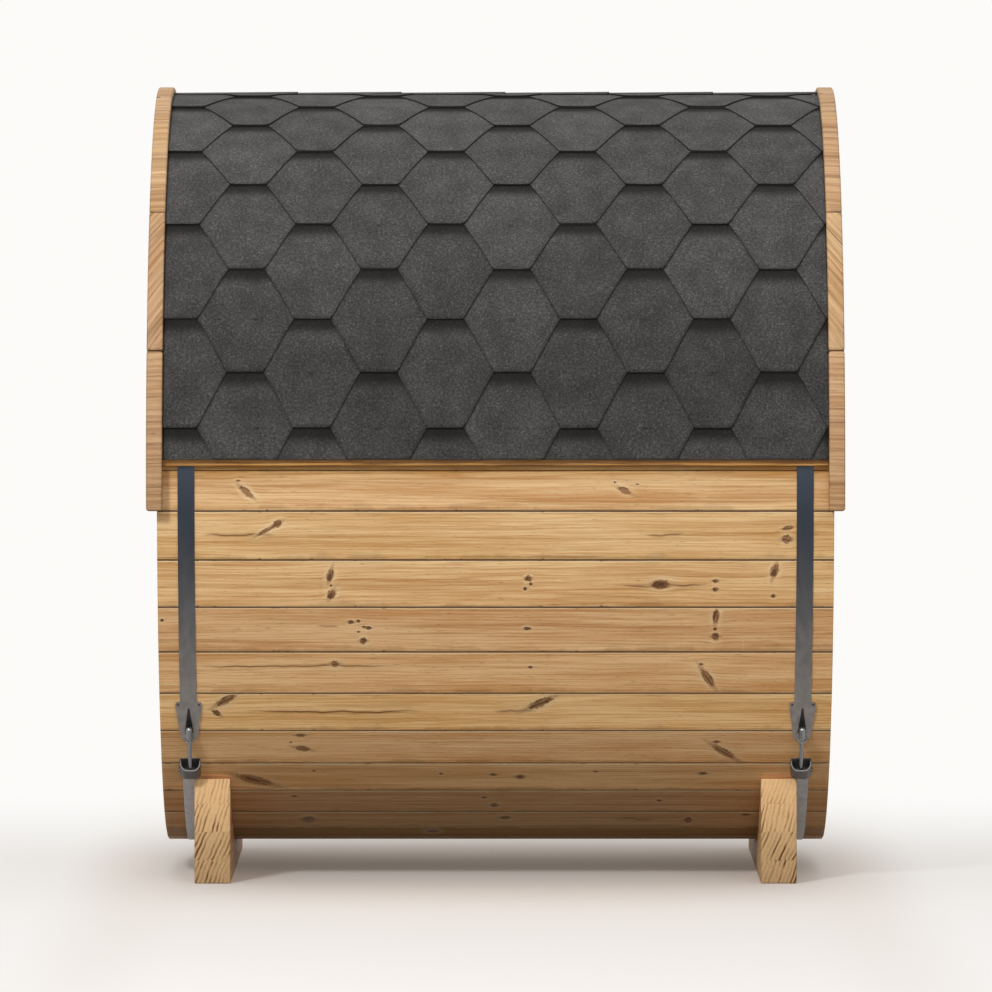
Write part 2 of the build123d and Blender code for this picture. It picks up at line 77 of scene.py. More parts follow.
def addNode(tree, kind, *sockets, **settings):
    # one node: kind with its mode after a space, then its sockets in order or one dictionary of them by name;
    # each is a value, a node or another node's output
    kind, _, mode = kind.partition(" ")
    node = tree.nodes.new("ShaderNode" + kind)
    if mode:
        setattr(node, modeNames[kind], mode)
    for key, value in settings.items():
        setattr(node, key, value)
    named = sockets and isinstance(sockets[0], dict)
    order = socketNames.get(kind, range(len(sockets)))
    for key, value in (sockets[0].items() if named else zip(order, sockets)):
        if isinstance(value, bpy.types.Node):
            value = value.outputs[2 if value.bl_idname == "ShaderNodeMix" else 0]
        if isinstance(value, bpy.types.NodeSocket):
            tree.links.new(value, node.inputs[key])
        else:
            node.inputs[key].default_value = value
    return node


def newMaterial(look):
    # an empty material, its node-adding function and the look's colours
    material = bpy.data.materials.new(look["name"])
    material.use_nodes = True
    material.node_tree.nodes.clear()
    paint = {key: hexLinear(value) for key, value in look.items() if str(value).startswith("#")}
    return material, functools.partial(addNode, material.node_tree), paint


def ringPoint(x, radius, angle):
    # a point by its distance from the barrel's axis and its angle up from level on the left side
    x, radius, angle = np.broadcast_arrays(x, radius, angle)
    return np.stack([x, -radius * np.cos(angle), barrel["axisHeight"] + radius * np.sin(angle)], -1)


def gridQuads(rows, cols, closed):
    # the four corners of each cell of a grid of points; a closed grid joins its last column to its first
    row = np.arange(rows - 1)[:, None]
    col = np.arange(cols if closed else cols - 1)[None, :]
    after = (col + 1) % cols
    cell = [row * cols + col, row * cols + after, (row + 1) * cols + after, (row + 1) * cols + col]
    return np.stack(cell, -1).reshape(-1, 4)


def sweptPart(sections, uv, attributes, sideSlot=0, capSlot=0):
    # a closed outline carried through rows of sections, with a flat cap at both ends
    rows, cols = sections.shape[:2]
    caps = np.stack([np.arange(cols)[::-1], (rows - 1) * cols + np.arange(cols)])
    return {
        "points": sections.reshape(-1, 3),
        "faces": [gridQuads(rows, cols, True), caps],
        "slots": [sideSlot, capSlot],
        "uv": uv.reshape(-1, 2),
        "attributes": {key: value.reshape(rows * cols, 4) for key, value in attributes.items()},
    }


def makePiece(name, parts, materials, nodes, crease=38, outward=None):
    # joins the parts into one mesh object that rides on the body and stands for the named nodes
    start, faces, slots = 0, [], []
    for part in parts:
        for block, slotNumber in zip(part["faces"], part["slots"]):
            faces.append(block + start)
            slots.append(np.full(len(block), slotNumber))
        start += len(part["points"])
    points = np.concatenate([part["points"] for part in parts])
    uv = np.concatenate([part["uv"] for part in parts])
    turned = 0.0
    for block in faces:
        first = points[block[:, 0]]
        for corner in range(1, block.shape[1] - 1):
            area = np.cross(points[block[:, corner]] - first, points[block[:, corner + 1]] - first)
            direction = first if outward is None else outward(first)
            turned += np.sum(area * direction)
    if turned < 0:  # the sum is the closed volume, or how far a sheet faces away, so below 0 means inside out
        faces = [block[:, ::-1] for block in faces]
    corners = np.concatenate([block.ravel() for block in faces]).astype(np.int32)
    sizes = np.concatenate([np.full(len(block), block.shape[1]) for block in faces])
    mesh = bpy.data.meshes.new(name)
    mesh.vertices.add(len(points))
    mesh.vertices.foreach_set("co", points.astype(np.float32).ravel())
    mesh.loops.add(len(corners))
    mesh.loops.foreach_set("vertex_index", corners)
    mesh.polygons.add(len(sizes))
    mesh.polygons.foreach_set("loop_start", np.concatenate([[0], np.cumsum(sizes)[:-1]]).astype(np.int32))
    mesh.polygons.foreach_set("material_index", np.concatenate(slots).astype(np.int32))
    mesh.polygons.foreach_set("use_smooth", np.ones(len(sizes), bool))
    mesh.update(calc_edges=True)
    mesh.uv_layers.new(name="grain").data.foreach_set("uv", uv[corners].astype(np.float32).ravel())
    for key in parts[0]["attributes"]:
        values = np.concatenate([part["attributes"][key] for part in parts])
        layer = mesh.attributes.new(key, "FLOAT_COLOR", "POINT")
        layer.data.foreach_set("color", values.astype(np.float32).ravel())
    mesh.set_sharp_from_angle(angle=math.radians(crease))
    for material in materials:
        mesh.materials.append(material)
    piece = bpy.data.objects.new(name, mesh)
    scene.collection.objects.link(piece)
    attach(piece, "root")
    if nodes:
        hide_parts(*nodes)
    return piece


# materials

def plankWood(look):
    # Spruce planks, planed and oiled: fine growth lines run lengthwise and part round the knots, late wood is the
    # darker side of each ring, pale wood spreads round a knot, and grime gathers in the joints.
    material, add, paint = newMaterial(look)
    uv = add("UVMap", uv_map="grain")
    along, across, _ = add("SeparateXYZ", uv).outputs
    board = add("Attribute", attribute_name="board")
    tone, pith, edge = add("SeparateXYZ", board.outputs["Vector"]).outputs
    seed = board.outputs["Alpha"]
    lot = add("Math MULTIPLY", seed, 57.0)
    ragged = add("TexNoise 2D", uv, 130.0, 3.0, 0.6)
    wobble = add("Math MULTIPLY_ADD", ragged, 0.9, -0.45)
    uneven = add("MapRange", ragged, 0.36, 0.6, 0.25, 1.0)
    knotMask, knotDark, knotHalo, knotTail = 0.0, 0.0, 0.0, 0.0
    for layer in look["layers"]:
        knot = add("Attribute", attribute_name=layer)
        dark = knot.outputs["Alpha"]
        lengthwise, sidewise, halfWidth = add("SeparateXYZ", knot.outputs["Vector"]).outputs
        flat = add("CombineXYZ", lengthwise, sidewise)
        near = add("VectorMath LENGTH", flat).outputs["Value"]
        fall = add("Math POWER", add("Math MAXIMUM", near, 1.0), -3.0)
        push = add("Math MULTIPLY", add("Math MULTIPLY", sidewise, fall), halfWidth)
        across = add("Math SUBTRACT", across, push)
        rough = add("Math ADD", near, wobble)
        whole = add("MapRange SMOOTHSTEP", rough, 0.7, 1.12, 1.0, 0.0)
        solid = add("Math MULTIPLY", whole, add("Math MULTIPLY_ADD", dark, 0.45, 0.44))
        # inside a knot: a few lines along its length, a broken dark rim and a dark heart
        fine = add("CombineXYZ", add("Math MULTIPLY", lengthwise, 0.8), add("Math MULTIPLY", sidewise, 2.3), lot)
        lines = add("TexNoise", fine, 1.0, 2.0)
        lines = add("MapRange SMOOTHSTEP", lines, 0.46, 0.58, 0.0, 0.8)
        rim = add("Math ABSOLUTE", add("Math SUBTRACT", rough, 0.84))
        rim = add("MapRange SMOOTHSTEP", rim, 0.06, 0.3, add("Math MULTIPLY_ADD", dark, 0.6, 0.3), 0.0)
        rim = add("Math MULTIPLY", rim, uneven)
        heart = add("MapRange", rough, 0.15, 0.9, add("Math POWER", dark, 1.6), 0.0)
        inner = add("Math MAXIMUM", add("Math MAXIMUM", lines, rim), heart)
        inner = add("Math MULTIPLY", inner, whole)
        halo = add("Math MULTIPLY_ADD", wobble, 1.5, near)
        halo = add("MapRange SMOOTHSTEP", halo, 0.8, 2.4, 0.62, 0.0)
        # brown tails run from a knot along the grain
        long = add("VectorMath MULTIPLY", flat, (0.42, 1.05, 0.0))
        long = add("VectorMath LENGTH", long).outputs["Value"]
        tail = add("Math MULTIPLY_ADD", wobble, 0.7, long)
        tail = add("MapRange SMOOTHSTEP", tail, 0.35, 1.0, 0.6, 0.0)
        knotTail = add("Math MAXIMUM", knotTail, tail)
        knotHalo = add("Math MAXIMUM", knotHalo, halo)
        knotMask = add("Math MAXIMUM", knotMask, solid)
        knotDark = add("Math MAXIMUM", knotDark, inner)

    # noises by the metre: lengthwise and by board, then with the distance across the grain as well
    strip, grain = add("CombineXYZ", along, seed), add("CombineXYZ", along, across, seed)
    drift = add("VectorMath MULTIPLY", strip, (1.0, 43.0, 0.0))
    swing = add("TexNoise 2D", drift, 1.1, 1.0)
    deep = add("VectorMath MULTIPLY", strip, (1.0, 71.0, 0.0))
    depth = add("TexNoise 2D", deep, 1.7, 1.0)
    broad = add("VectorMath MULTIPLY", strip, (11.0, 57.0, 0.0))
    spill = add("TexNoise 2D", broad, 1.0, 3.0)
    short = add("VectorMath MULTIPLY", strip, (38.0, 57.0, 0.0))
    chip = add("TexNoise 2D", short, 1.0, 3.0)
    stretch = add("VectorMath MULTIPLY", grain, (3.0, 70.0, 57.0))
    waver = add("TexNoise", stretch, 1.0, 2.0)
    # fibre 1 mm wide, drawn about 3 mm so that it shows; short dark pores; broad patches of a few centimetres
    thread = add("VectorMath MULTIPLY", grain, (9.0, 340.0, 57.0))
    fibre = add("TexNoise", thread, 1.0, 3.0, 0.6)
    thread = add("VectorMath MULTIPLY", thread, (4.2, 1.3, 9.0))
    pore = add("TexNoise", thread, 1.0, 1.0)
    cloudy = add("VectorMath MULTIPLY", grain, (1.8, 27.0, 90.0))
    cloud = add("TexNoise", cloudy, 1.0, 4.0)
    ribbon = add("VectorMath MULTIPLY", grain, (1.3, 85.0, 57.0))
    ribbon = add("TexNoise", ribbon, 1.0, 2.0)

    # rings: distance from a pith that wanders along the board, so lines taper into long arches
    swing = add("Math MULTIPLY_ADD", swing, look["swing"], -look["swing"] / 2)
    depth = add("Math MULTIPLY_ADD", depth, look["depth"], 0.002)
    side = add("Math SUBTRACT", add("Math SUBTRACT", across, pith), swing)
    radius = add("VectorMath LENGTH", add("CombineXYZ", side, depth)).outputs["Value"]
    waverShare = add("Math MULTIPLY", waver, look["waver"])
    saw = add("Math FRACT", add("Math MULTIPLY_ADD", radius, 1000 / look["ringMm"], waverShare))
    late = add("MapRange SMOOTHSTEP", saw, 0.25, 0.8, 0.0, 1.0)
    late = add("Math MULTIPLY", late, add("MapRange SMOOTHSTEP", saw, 0.8, 1.0, 1.0, 0.0))
    fade = add("MapRange", cloud, 0.35, 0.65, look["contrast"] * 0.35, look["contrast"])
    ribbonMost = add("MapRange", tone, 0.3, 0.8, min(1.0, look["ribbon"] * 1.6), look["ribbon"])
    lateShare = add("Math MULTIPLY", late, fade)
    colour = add("Mix RGBA", lateShare, paint["light"], paint["late"])
    coats = [
        (add("MapRange", cloud, 0.42, 0.68, 0.0, 0.8), "patch"),
        (add("MapRange SMOOTHSTEP", ribbon, 0.5, 0.7, 0.0, ribbonMost), "late"),
        (add("MapRange", fibre, 0.5, 0.74, 0.0, look["fibre"]), "late"),
        (add("MapRange", fibre, 0.28, 0.46, look["fibre"], 0.0), "halo"),
        (add("MapRange", pore, 0.66, 0.78, 0.0, 0.5), "streak"),
    ]
    for share, name in coats:
        colour = add("Mix RGBA", share, colour, paint[name])
    bright = add("MapRange", tone, 0.0, 1.0, *look["tones"])
    warm = add("MapRange", seed, 0.0, 1.0, 0.488, 0.510)
    rich = add("MapRange", tone, 0.1, 0.55, look["rich"], 1.0)
    colour = add("HueSaturation", {"Hue": warm, "Saturation": rich, "Value": bright, "Color": colour})

    coats = []
    if look["lines"]:
        # checks: thin cracks across the sawn face at uneven distances
        crack = add("Math MULTIPLY_ADD", across, look["lines"], lot)
        crack = add("Math MULTIPLY_ADD", waver, 0.35, crack)
        crack = add("TexVoronoi 1D", {"W": crack, "Scale": 1.0})
        pick = add("SeparateXYZ", crack.outputs["Color"])
        thin = add("MapRange SMOOTHSTEP", crack.outputs["Distance"], 0.012, 0.045, 1.0, 0.0)
        thin = add("Math MULTIPLY", thin, add("MapRange", pick, 0.25, 0.9, 0.0, 0.75))
        coats.append((thin, "streak"))
    if look["streaks"]:
        # resin streaks: a dark core that wanders along the grain inside a softer brown edge
        streak = add("Attribute", attribute_name="streak")
        lengthwise, sidewise, arris = add("SeparateXYZ", streak.outputs["Vector"]).outputs
        wander = add("Math MULTIPLY_ADD", spill, 4.4, -2.2)
        off = add("Math ABSOLUTE", add("Math ADD", sidewise, wander))
        off = add("Math MULTIPLY_ADD", fibre, 0.8, off)
        taper = add("MapRange SMOOTHSTEP", add("Math ABSOLUTE", lengthwise), 0.45, 1.0, 1.0, 0.0)
        taper = add("Math MULTIPLY", taper, streak.outputs["Alpha"])
        core = add("MapRange SMOOTHSTEP", off, 0.5, 1.35, 1.0, 0.0)
        soft = add("MapRange SMOOTHSTEP", off, 0.4, 3.4, 0.5, 0.0)
        coats.append((add("Math MULTIPLY", soft, taper), "tail"))
        coats.append((add("Math MULTIPLY", core, taper), "streak"))
    if look["layers"]:
        haloShare = add("Math MULTIPLY", knotHalo, add("MapRange", cloud, 0.3, 0.6, 1.0, 0.45))
        coats += [(haloShare, "halo"), (knotTail, "tail"), (knotMask, "knot"), (knotDark, "knotRim")]
    # edges: a dark line in the joint, torn where the plane caught the grain, and brown stains beside it
    reach = add("MapRange", spill, 0.45, 0.75, 0.003, 0.014)
    coats.append((add("MapRange", edge, 0.001, reach, look["grime"], 0.0), "joint"))
    if look["streaks"]:
        # painted highlight: the upper arris is paled where it would catch the light
        worn = add("MapRange SMOOTHSTEP", arris, 0.0022, 0.0056, 0.62, 0.0)
        worn = add("Math MULTIPLY", worn, add("MapRange", spill, 0.3, 0.55, 0.35, 1.0))
        coats.append((worn, "halo"))
    torn = add("MapRange", chip, 0.64, 0.86, 0.0019, 0.0056)
    coats.append((add("MapRange SMOOTHSTEP", edge, 0.0006, torn, look["edge"], 0.0), "joint"))
    for share, name in coats:
        colour = add("Mix RGBA", share, colour, paint[name])

    gloss = add("MapRange", late, 0.0, 1.0, 0.62, 0.5)
    height = add("Math MULTIPLY_ADD", fibre, 0.8, late)
    relief = add("Bump", height, 0.16, 0.0012)
    shader = add("BsdfPrincipled", {"Base Color": colour, "Roughness": gloss, "Normal": relief,
                                    "Specular IOR Level": 0.3})
    add("OutputMaterial", shader)
    return material


def endGrainWood(look):
    # Sawn end of a timber, by the object's own metres: rings cut across show as long slanting dark bands that start
    # and stop where two lamellas are glued; painted light makes the top lighter, and painted shade darkens the foot
    # and its rings.
    material, add, paint = newMaterial(look)
    where = add("TexCoord").outputs["Object"]
    spot = add("SeparateXYZ", where)
    layer = add("Math DIVIDE", spot.outputs[2], look["lamella"])
    jag = add("TexNoise", add("Mapping", where, (70.0, 0.0, 0.0)), 1.0, 1.0)
    layer = add("Math MULTIPLY_ADD", jag, look["jag"], layer)
    number = add("Math FLOOR", layer)
    chance = add("TexWhiteNoise 1D", {"W": number}).outputs["Value"]
    lean = add("Math MULTIPLY_ADD", chance, 0.2, look["lean"])
    slanted = add("Math MULTIPLY_ADD", spot.outputs[2], lean, spot.outputs["XYZ".index(look["axis"])])
    bend = add("TexNoise", where, 11.0, 2.0)
    slanted = add("Math MULTIPLY_ADD", bend, look["bend"], slanted)
    shifted = add("Math MULTIPLY_ADD", chance, 0.03, slanted)
    phase = add("Math MULTIPLY", shifted, 1000 / look["ringMm"])
    saw = add("Math FRACT", phase)
    ring = add("CombineXYZ", add("Math FLOOR", phase), number)
    weight = add("TexWhiteNoise 2D", {"Vector": ring}).outputs["Value"]
    late = add("MapRange SMOOTHSTEP", saw, 0.25, 0.7, 0.0, 1.0)
    stop = add("MapRange SMOOTHSTEP", saw, 0.75, 1.0, 1.0, 0.0)
    late = add("Math MULTIPLY", late, stop)
    pores = add("TexNoise", where, 320.0, 2.0)
    broad = add("TexNoise", where, 18.0, 2.0)
    share = add("Math MULTIPLY", late, add("MapRange", weight, 0.0, 0.8, 0.12, look["contrast"]))
    share = add("Math MULTIPLY", share, add("MapRange", broad, 0.38, 0.58, 0.3, 1.0))
    # painted shade: the rings show darker towards the foot
    paintedFootShade = add("MapRange", spot.outputs[2], 0.02, 0.22, 1.6, 0.8)
    share = add("Math MULTIPLY", share, paintedFootShade)
    colour = add("Mix RGBA", share, paint["light"], paint["late"])
    dots = add("MapRange", pores, 0.55, 0.8, 0.0, 0.35)
    colour = add("Mix RGBA", dots, colour, paint["late"])
    # painted light: the end is lighter towards the top and darker at the foot
    level = add("MapRange", spot.outputs[2], 0.0, *look["paintedTopLight"])
    level = add("Math MULTIPLY", level, add("MapRange", chance, 0.0, 1.0, 0.94, 1.05))
    colour = add("HueSaturation", {"Value": level, "Color": colour})
    relief = add("Bump", add("Math ADD", pores, late), 0.2, 0.001)
    shader = add("BsdfPrincipled", {"Base Color": colour, "Normal": relief, "Roughness": 0.72,
                                    "Specular IOR Level": 0.25})
    add("OutputMaterial", shader)
    return material


def feltShingle(look):
    # Bitumen felt shingle with slate granules: matt and speckled, lighter towards the ridge and on the lowest course
    # as painted light, with a darker band along the top of each hexagon that is partly printed and partly painted
    # shadow of the course above, and dark cut edges. Granules are about 1 mm, drawn 3 mm wide to show.
    material, add, paint = newMaterial(look)
    uv = add("UVMap", uv_map="grain")
    tab = add("Attribute", attribute_name="tab")
    facts = add("SeparateXYZ", tab.outputs["Vector"])
    tone, height, edge = facts.outputs
    grit = add("TexNoise 2D", uv, 170.0, 4.0, 0.75)
    fleck = add("TexVoronoi 2D", uv, 300.0)
    mottle = add("TexNoise 2D", uv, 13.0, 3.0)
    share = add("MapRange", grit, 0.3, 0.7, 0.0, 1.0)
    colour = add("Mix RGBA", share, paint["dark"], paint["light"])
    pale = add("SeparateXYZ", fleck.outputs["Color"])
    pale = add("MapRange", pale.outputs[0], 0.86, 0.95, 0.0, 0.35)
    colour = add("Mix RGBA", pale, colour, paint["fleck"])
    level = add("MapRange", mottle, 0.3, 0.7, 0.82, 1.14)
    level = add("Math MULTIPLY", level, add("MapRange", tone, 0.0, 1.0, 0.9, 1.1))
    rise = add("SeparateXYZ", add("TexCoord").outputs["Object"]).outputs[2]
    # painted light: the felt is lighter towards the ridge, and the lowest course lighter still
    paintedTopLight = add("MapRange", rise, *look["paintedTopLight"])
    level = add("Math MULTIPLY", level, paintedTopLight)
    level = add("Math MULTIPLY", level, add("MapRange", rise, 1.12, 1.3, look["paintedLowLight"], 1.0))
    colour = add("HueSaturation", {"Value": level, "Color": colour})
    # darker band at the top of each hexagon: partly printed granules, partly painted shadow of the course above
    fray = add("Math MULTIPLY_ADD", grit, 0.02, height)
    band = add("MapRange SMOOTHSTEP", fray, look["bandTop"] - look["band"], look["bandTop"] - 0.004, 0.0, 0.78)
    colour = add("Mix RGBA", band, colour, paint["bandAndShadowColour"])
    rim = add("MapRange SMOOTHSTEP", edge, 0.0003, 0.002, 0.6, 0.0)
    colour = add("Mix RGBA", rim, colour, paint["cut"])
    relief = add("Bump", grit, 0.5, 0.0012)
    shader = add("BsdfPrincipled", {"Base Color": colour, "Normal": relief, "Roughness": 0.92,
                                    "Specular IOR Level": 0.12})
    add("OutputMaterial", shader)
    return material


def cutFelt(look):
    # Cut edge of the felt: bare bitumen, nearly black, a little softer than the granules.
    material, add, paint = newMaterial(look)
    where = add("TexCoord").outputs["Object"]
    grit = add("TexNoise", where, 500.0, 2.0)
    colour = add("Mix RGBA", grit, paint["dark"], paint["light"])
    shader = add("BsdfPrincipled", {"Base Color": colour, "Roughness": 0.8, "Specular IOR Level": 0.25})
    add("OutputMaterial", shader)
    return material


def coatedSteel(look):
    # Rolled steel band with a dark satin coat; a painted reflection of the pale floor greys it towards the ground.
    material, add, paint = newMaterial(look)
    where = add("TexCoord").outputs["Object"]
    rise = add("SeparateXYZ", where).outputs[2]
    smear = add("TexNoise", add("Mapping", where, (1.0, 1.0, 0.15)), 60.0, 4.0)
    # painted reflection: paler towards the ground, as if the band mirrored the floor
    paintedReflection = add("MapRange SMOOTHSTEP", rise, look["paintedReflectionFrom"], look["paintedReflectionTo"], 0.0, 1.0)
    patchy = add("MapRange", smear, 0.3, 0.7, 0.7, 1.0)
    paintedReflection = add("Math MULTIPLY", paintedReflection, patchy)
    coat = add("Mix RGBA", smear, paint["coat"], paint["worn"])
    colour = add("Mix RGBA", paintedReflection, coat, paint["paintedReflection"])
    gloss = add("MapRange", smear, 0.3, 0.7, 0.36, 0.5)
    relief = add("Bump", smear, 0.06, 0.001)
    shader = add("BsdfPrincipled", {"Base Color": colour, "Roughness": gloss, "Normal": relief,
                                    "Metallic": look["metal"]})
    add("OutputMaterial", shader)
    return material


def turnedSteel(look):
    # Plated rod and nuts, bright and smooth, with fine turning lines round them.
    material, add, paint = newMaterial(look)
    where = add("TexCoord").outputs["Object"]
    lines = add("TexNoise", where, 420.0, 2.0)
    gloss = add("MapRange", lines, 0.3, 0.7, 0.16, 0.34)
    colour = add("Mix RGBA", lines, paint["dark"], paint["light"])
    shader = add("BsdfPrincipled", {"Base Color": colour, "Roughness": gloss, "Metallic": 1.0})
    add("OutputMaterial", shader)
    return material


def boardedWood(look):
    # Planed spruce boards of the end walls and hidden timbers, by the object's own metres: rings along the board,
    # a tone for each board, and a dark line in the seam.
    material, add, paint = newMaterial(look)
    where = add("SeparateXYZ", add("TexCoord").outputs["Object"])
    along, across, through = [where.outputs["XYZ".index(axis)] for axis in look["axes"]]
    shifted = add("Math SUBTRACT", across, look["start"])
    count = add("Math DIVIDE", shifted, look["board"])
    number = add("Math FLOOR", count)
    chance = add("TexWhiteNoise 1D", {"W": number}).outputs["Value"]
    inside = add("Math FRACT", count)
    middle = add("Math SUBTRACT", inside, 0.5)
    out = add("Math ABSOLUTE", middle)
    edge = add("Math MULTIPLY_ADD", out, -look["board"], look["board"] / 2)
    drift = add("CombineXYZ", along, add("Math MULTIPLY", chance, 50.0))
    swing = add("TexNoise 2D", drift, 1.2, 1.0)
    side = add("Math MULTIPLY_ADD", middle, look["board"], add("Math MULTIPLY_ADD", swing, 0.03, look["pith"]))
    depth = add("TexNoise 2D", drift, 1.9, 1.0)
    depth = add("Math MULTIPLY_ADD", depth, 0.016, add("Math MULTIPLY", through, 0.3))
    radius = add("VectorMath LENGTH", add("CombineXYZ", side, depth)).outputs["Value"]
    stretch = add("CombineXYZ", add("Math MULTIPLY", along, 9.0), add("Math MULTIPLY", across, 420.0), chance)
    fibre = add("TexNoise", stretch, 1.0, 3.0)
    phase = add("Math MULTIPLY_ADD", radius, 1000 / look["ringMm"], fibre)
    saw = add("Math FRACT", phase)
    late = add("MapRange SMOOTHSTEP", saw, 0.2, 0.85, 0.0, look["contrast"])
    stop = add("MapRange", saw, 0.85, 1.0, 1.0, 0.0)
    late = add("Math MULTIPLY", late, stop)
    colour = add("Mix RGBA", late, paint["light"], paint["late"])
    thin = add("MapRange", fibre, 0.5, 0.74, 0.0, 0.5)
    colour = add("Mix RGBA", thin, colour, paint["late"])
    # knots 10 to 20 mm across, about 150 mm apart, each board with its own
    place = add("Math MULTIPLY_ADD", inside, look["board"], add("Math MULTIPLY", number, 0.9))
    spots = add("TexVoronoi 2D", add("CombineXYZ", along, place), 6.5)
    pick = add("SeparateXYZ", spots.outputs["Color"])
    kept = add("Math GREATER_THAN", pick.outputs[0], 0.62)
    ragged = add("Math MULTIPLY_ADD", fibre, 0.03, spots.outputs["Distance"])
    size = add("MapRange", pick.outputs[1], 0.0, 1.0, 0.045, 0.085)
    close = add("Math DIVIDE", ragged, size)
    pale = add("MapRange SMOOTHSTEP", close, 0.9, 2.2, 0.5, 0.0)
    colour = add("Mix RGBA", add("Math MULTIPLY", pale, kept), colour, paint["halo"])
    knot = add("MapRange SMOOTHSTEP", close, 0.55, 1.05, 0.8, 0.0)
    colour = add("Mix RGBA", add("Math MULTIPLY", knot, kept), colour, paint["knot"])
    bright = add("MapRange", chance, 0.0, 1.0, 0.86, 1.06)
    colour = add("HueSaturation", {"Value": bright, "Color": colour})
    line = add("MapRange SMOOTHSTEP", edge, 0.0006, 0.004, 0.7, 0.0)
    colour = add("Mix RGBA", line, colour, paint["joint"])
    relief = add("Bump", add("Math ADD", fibre, late), 0.14, 0.001)
    shader = add("BsdfPrincipled", {"Base Color": colour, "Normal": relief, "Roughness": 0.58,
                                    "Specular IOR Level": 0.3})
    add("OutputMaterial", shader)
    return material


def layeredPly(look):
    # Plywood deck: plies show as stripes on the edge, by the distance from the barrel's axis. Plies are 1.5 mm, drawn
    # as pairs of a pale and a dark one.
    material, add, paint = newMaterial(look)
    where = add("TexCoord").outputs["Object"]
    fromAxis = add("Mapping", {"Vector": where, "Location": (0.0, 0.0, -barrel["axisHeight"]),
                               "Scale": (0.0, 1.0, 1.0)})
    radius = add("VectorMath LENGTH", fromAxis).outputs["Value"]
    ply = add("Math MULTIPLY", radius, 1000 / look["plyMm"])
    stripe = add("Math GREATER_THAN", add("Math FRACT", ply), 0.5)
    grain = add("TexNoise", add("Mapping", where, (4.0, 90.0, 90.0)), 1.0, 3.0)
    share = add("Math MULTIPLY_ADD", grain, 0.6, add("Math MULTIPLY", stripe, 0.35))
    colour = add("Mix RGBA", share, paint["light"], paint["late"])
    shader = add("BsdfPrincipled", {"Base Color": colour, "Roughness": 0.7, "Specular IOR Level": 0.25})
    add("OutputMaterial", shader)
    return material


staveLook = {
    "name": "oiledSpruceStaves", "light": "#E7C08C", "late": "#B17C43", "patch": "#C9965C", "streak": "#5A361A",
    "tail": "#9C6A3A", "knot": "#9E6B41", "knotRim": "#3E2413", "halo": "#F0D6A8", "joint": "#452A14", "ringMm": 9.0,
    "swing": 0.03, "depth": 0.018, "waver": 2.2, "contrast": 0.62, "fibre": 0.46, "ribbon": 0.55, "rich": 1.35,
    "tones": (0.4, 1.4), "edge": 0.92, "grime": 0.3, "streaks": True, "lines": 0.0,
    "layers": ("knotA", "knotB", "knotC", "knotD", "knotE", "knotF"),
}
archLook = dict(staveLook, name="sawnSpruceTrim", light="#C29D74", late="#774D26", patch="#AF8459", halo="#CFAC80",
                ringMm=12.0, waver=1.6, contrast=0.72, edge=0.8, grime=0.0, fibre=0.5, ribbon=0.45, rich=1.0,
                streaks=False, lines=24.0, layers=("knotA",), tones=(0.88, 1.06))
battenLook = dict(staveLook, name="roughSpruceBatten", rich=1.0, light="#C28648", late="#5E3A1C", patch="#8A5C30",
                  halo="#CF9C62", streaks=False, layers=(), contrast=0.9, fibre=0.78, edge=0.3, grime=0.0,
                  tones=(0.76, 1.2))
timberLook = dict(staveLook, name="gluedSpruceTimber", rich=1.0, light="#D0A87A", late="#A07240", streaks=False,
                  layers=(), edge=0.5, grime=0.0, tones=(0.76, 1.2))
endLook = {"name": "sawnTimberEnds", "axis": "X", "light": "#D6AF7E", "late": "#64401A", "ringMm": 11.0,
           "lamella": 0.072, "jag": 0.35, "lean": -0.45, "bend": 0.026, "contrast": 0.95, "paintedTopLight": (0.27, 0.76, 1.2)}
staveEndLook = dict(endLook, name="sawnStaveEnds", axis="Y", light="#DDB684", late="#A0713F", ringMm=6.0, lamella=5.0,
                    jag=0.0, lean=0.4, bend=0.05, contrast=0.7, paintedTopLight=(2.0, 1.0, 1.0))
wallLook = {"name": "planedSpruceBoards", "light": "#DFB786", "late": "#B07D47", "knot": "#63401F", "halo": "#EBCFA0",
            "joint": "#452A14", "ringMm": 9.0, "contrast": 0.5, "pith": 0.03, "axes": "ZYX"}
shingleLook = {"name": "slateGranuleFelt", "dark": "#2F2E2D", "light": "#525150", "fleck": "#72716F",
               "bandAndShadowColour": "#151413", "cut": "#131211", "bandTop": 0.281, "band": 0.038,
               "paintedTopLight": (1.25, 2.0, 0.76, 1.22), "paintedLowLight": 1.3}
cutLook = {"name": "cutBitumenEdge", "dark": "#141312", "light": "#232120"}
bandLook = {"name": "coatedHoopSteel", "coat": "#272C34", "worn": "#30363F", "paintedReflection": "#AFABA8", "paintedReflectionFrom": 0.98,
            "paintedReflectionTo": 0.12, "metal": 0.85}
lowBandLook = dict(bandLook, name="paintedReflectionHoopSteel", paintedReflection="#C4CBD4")
bracketLook = dict(bandLook, name="coatedBracketSteel", coat="#303236", worn="#404347", paintedReflection="#6A6765")
hingeLook = dict(bandLook, name="coatedHingeSteel", paintedReflection="#3A3F46")
shadeSheetLook = dict(bandLook, name="paintedShadeSheetSteel", coat="#17181A", worn="#202123", paintedReflection="#1A1A1A", metal=0.2)
rodLook = {"name": "platedRodSteel", "dark": "#5D6065", "light": "#A3A7AC"}
plyLook = {"name": "birchPlyDeck", "light": "#C9A374", "late": "#7A5632", "plyMm": 3.0}

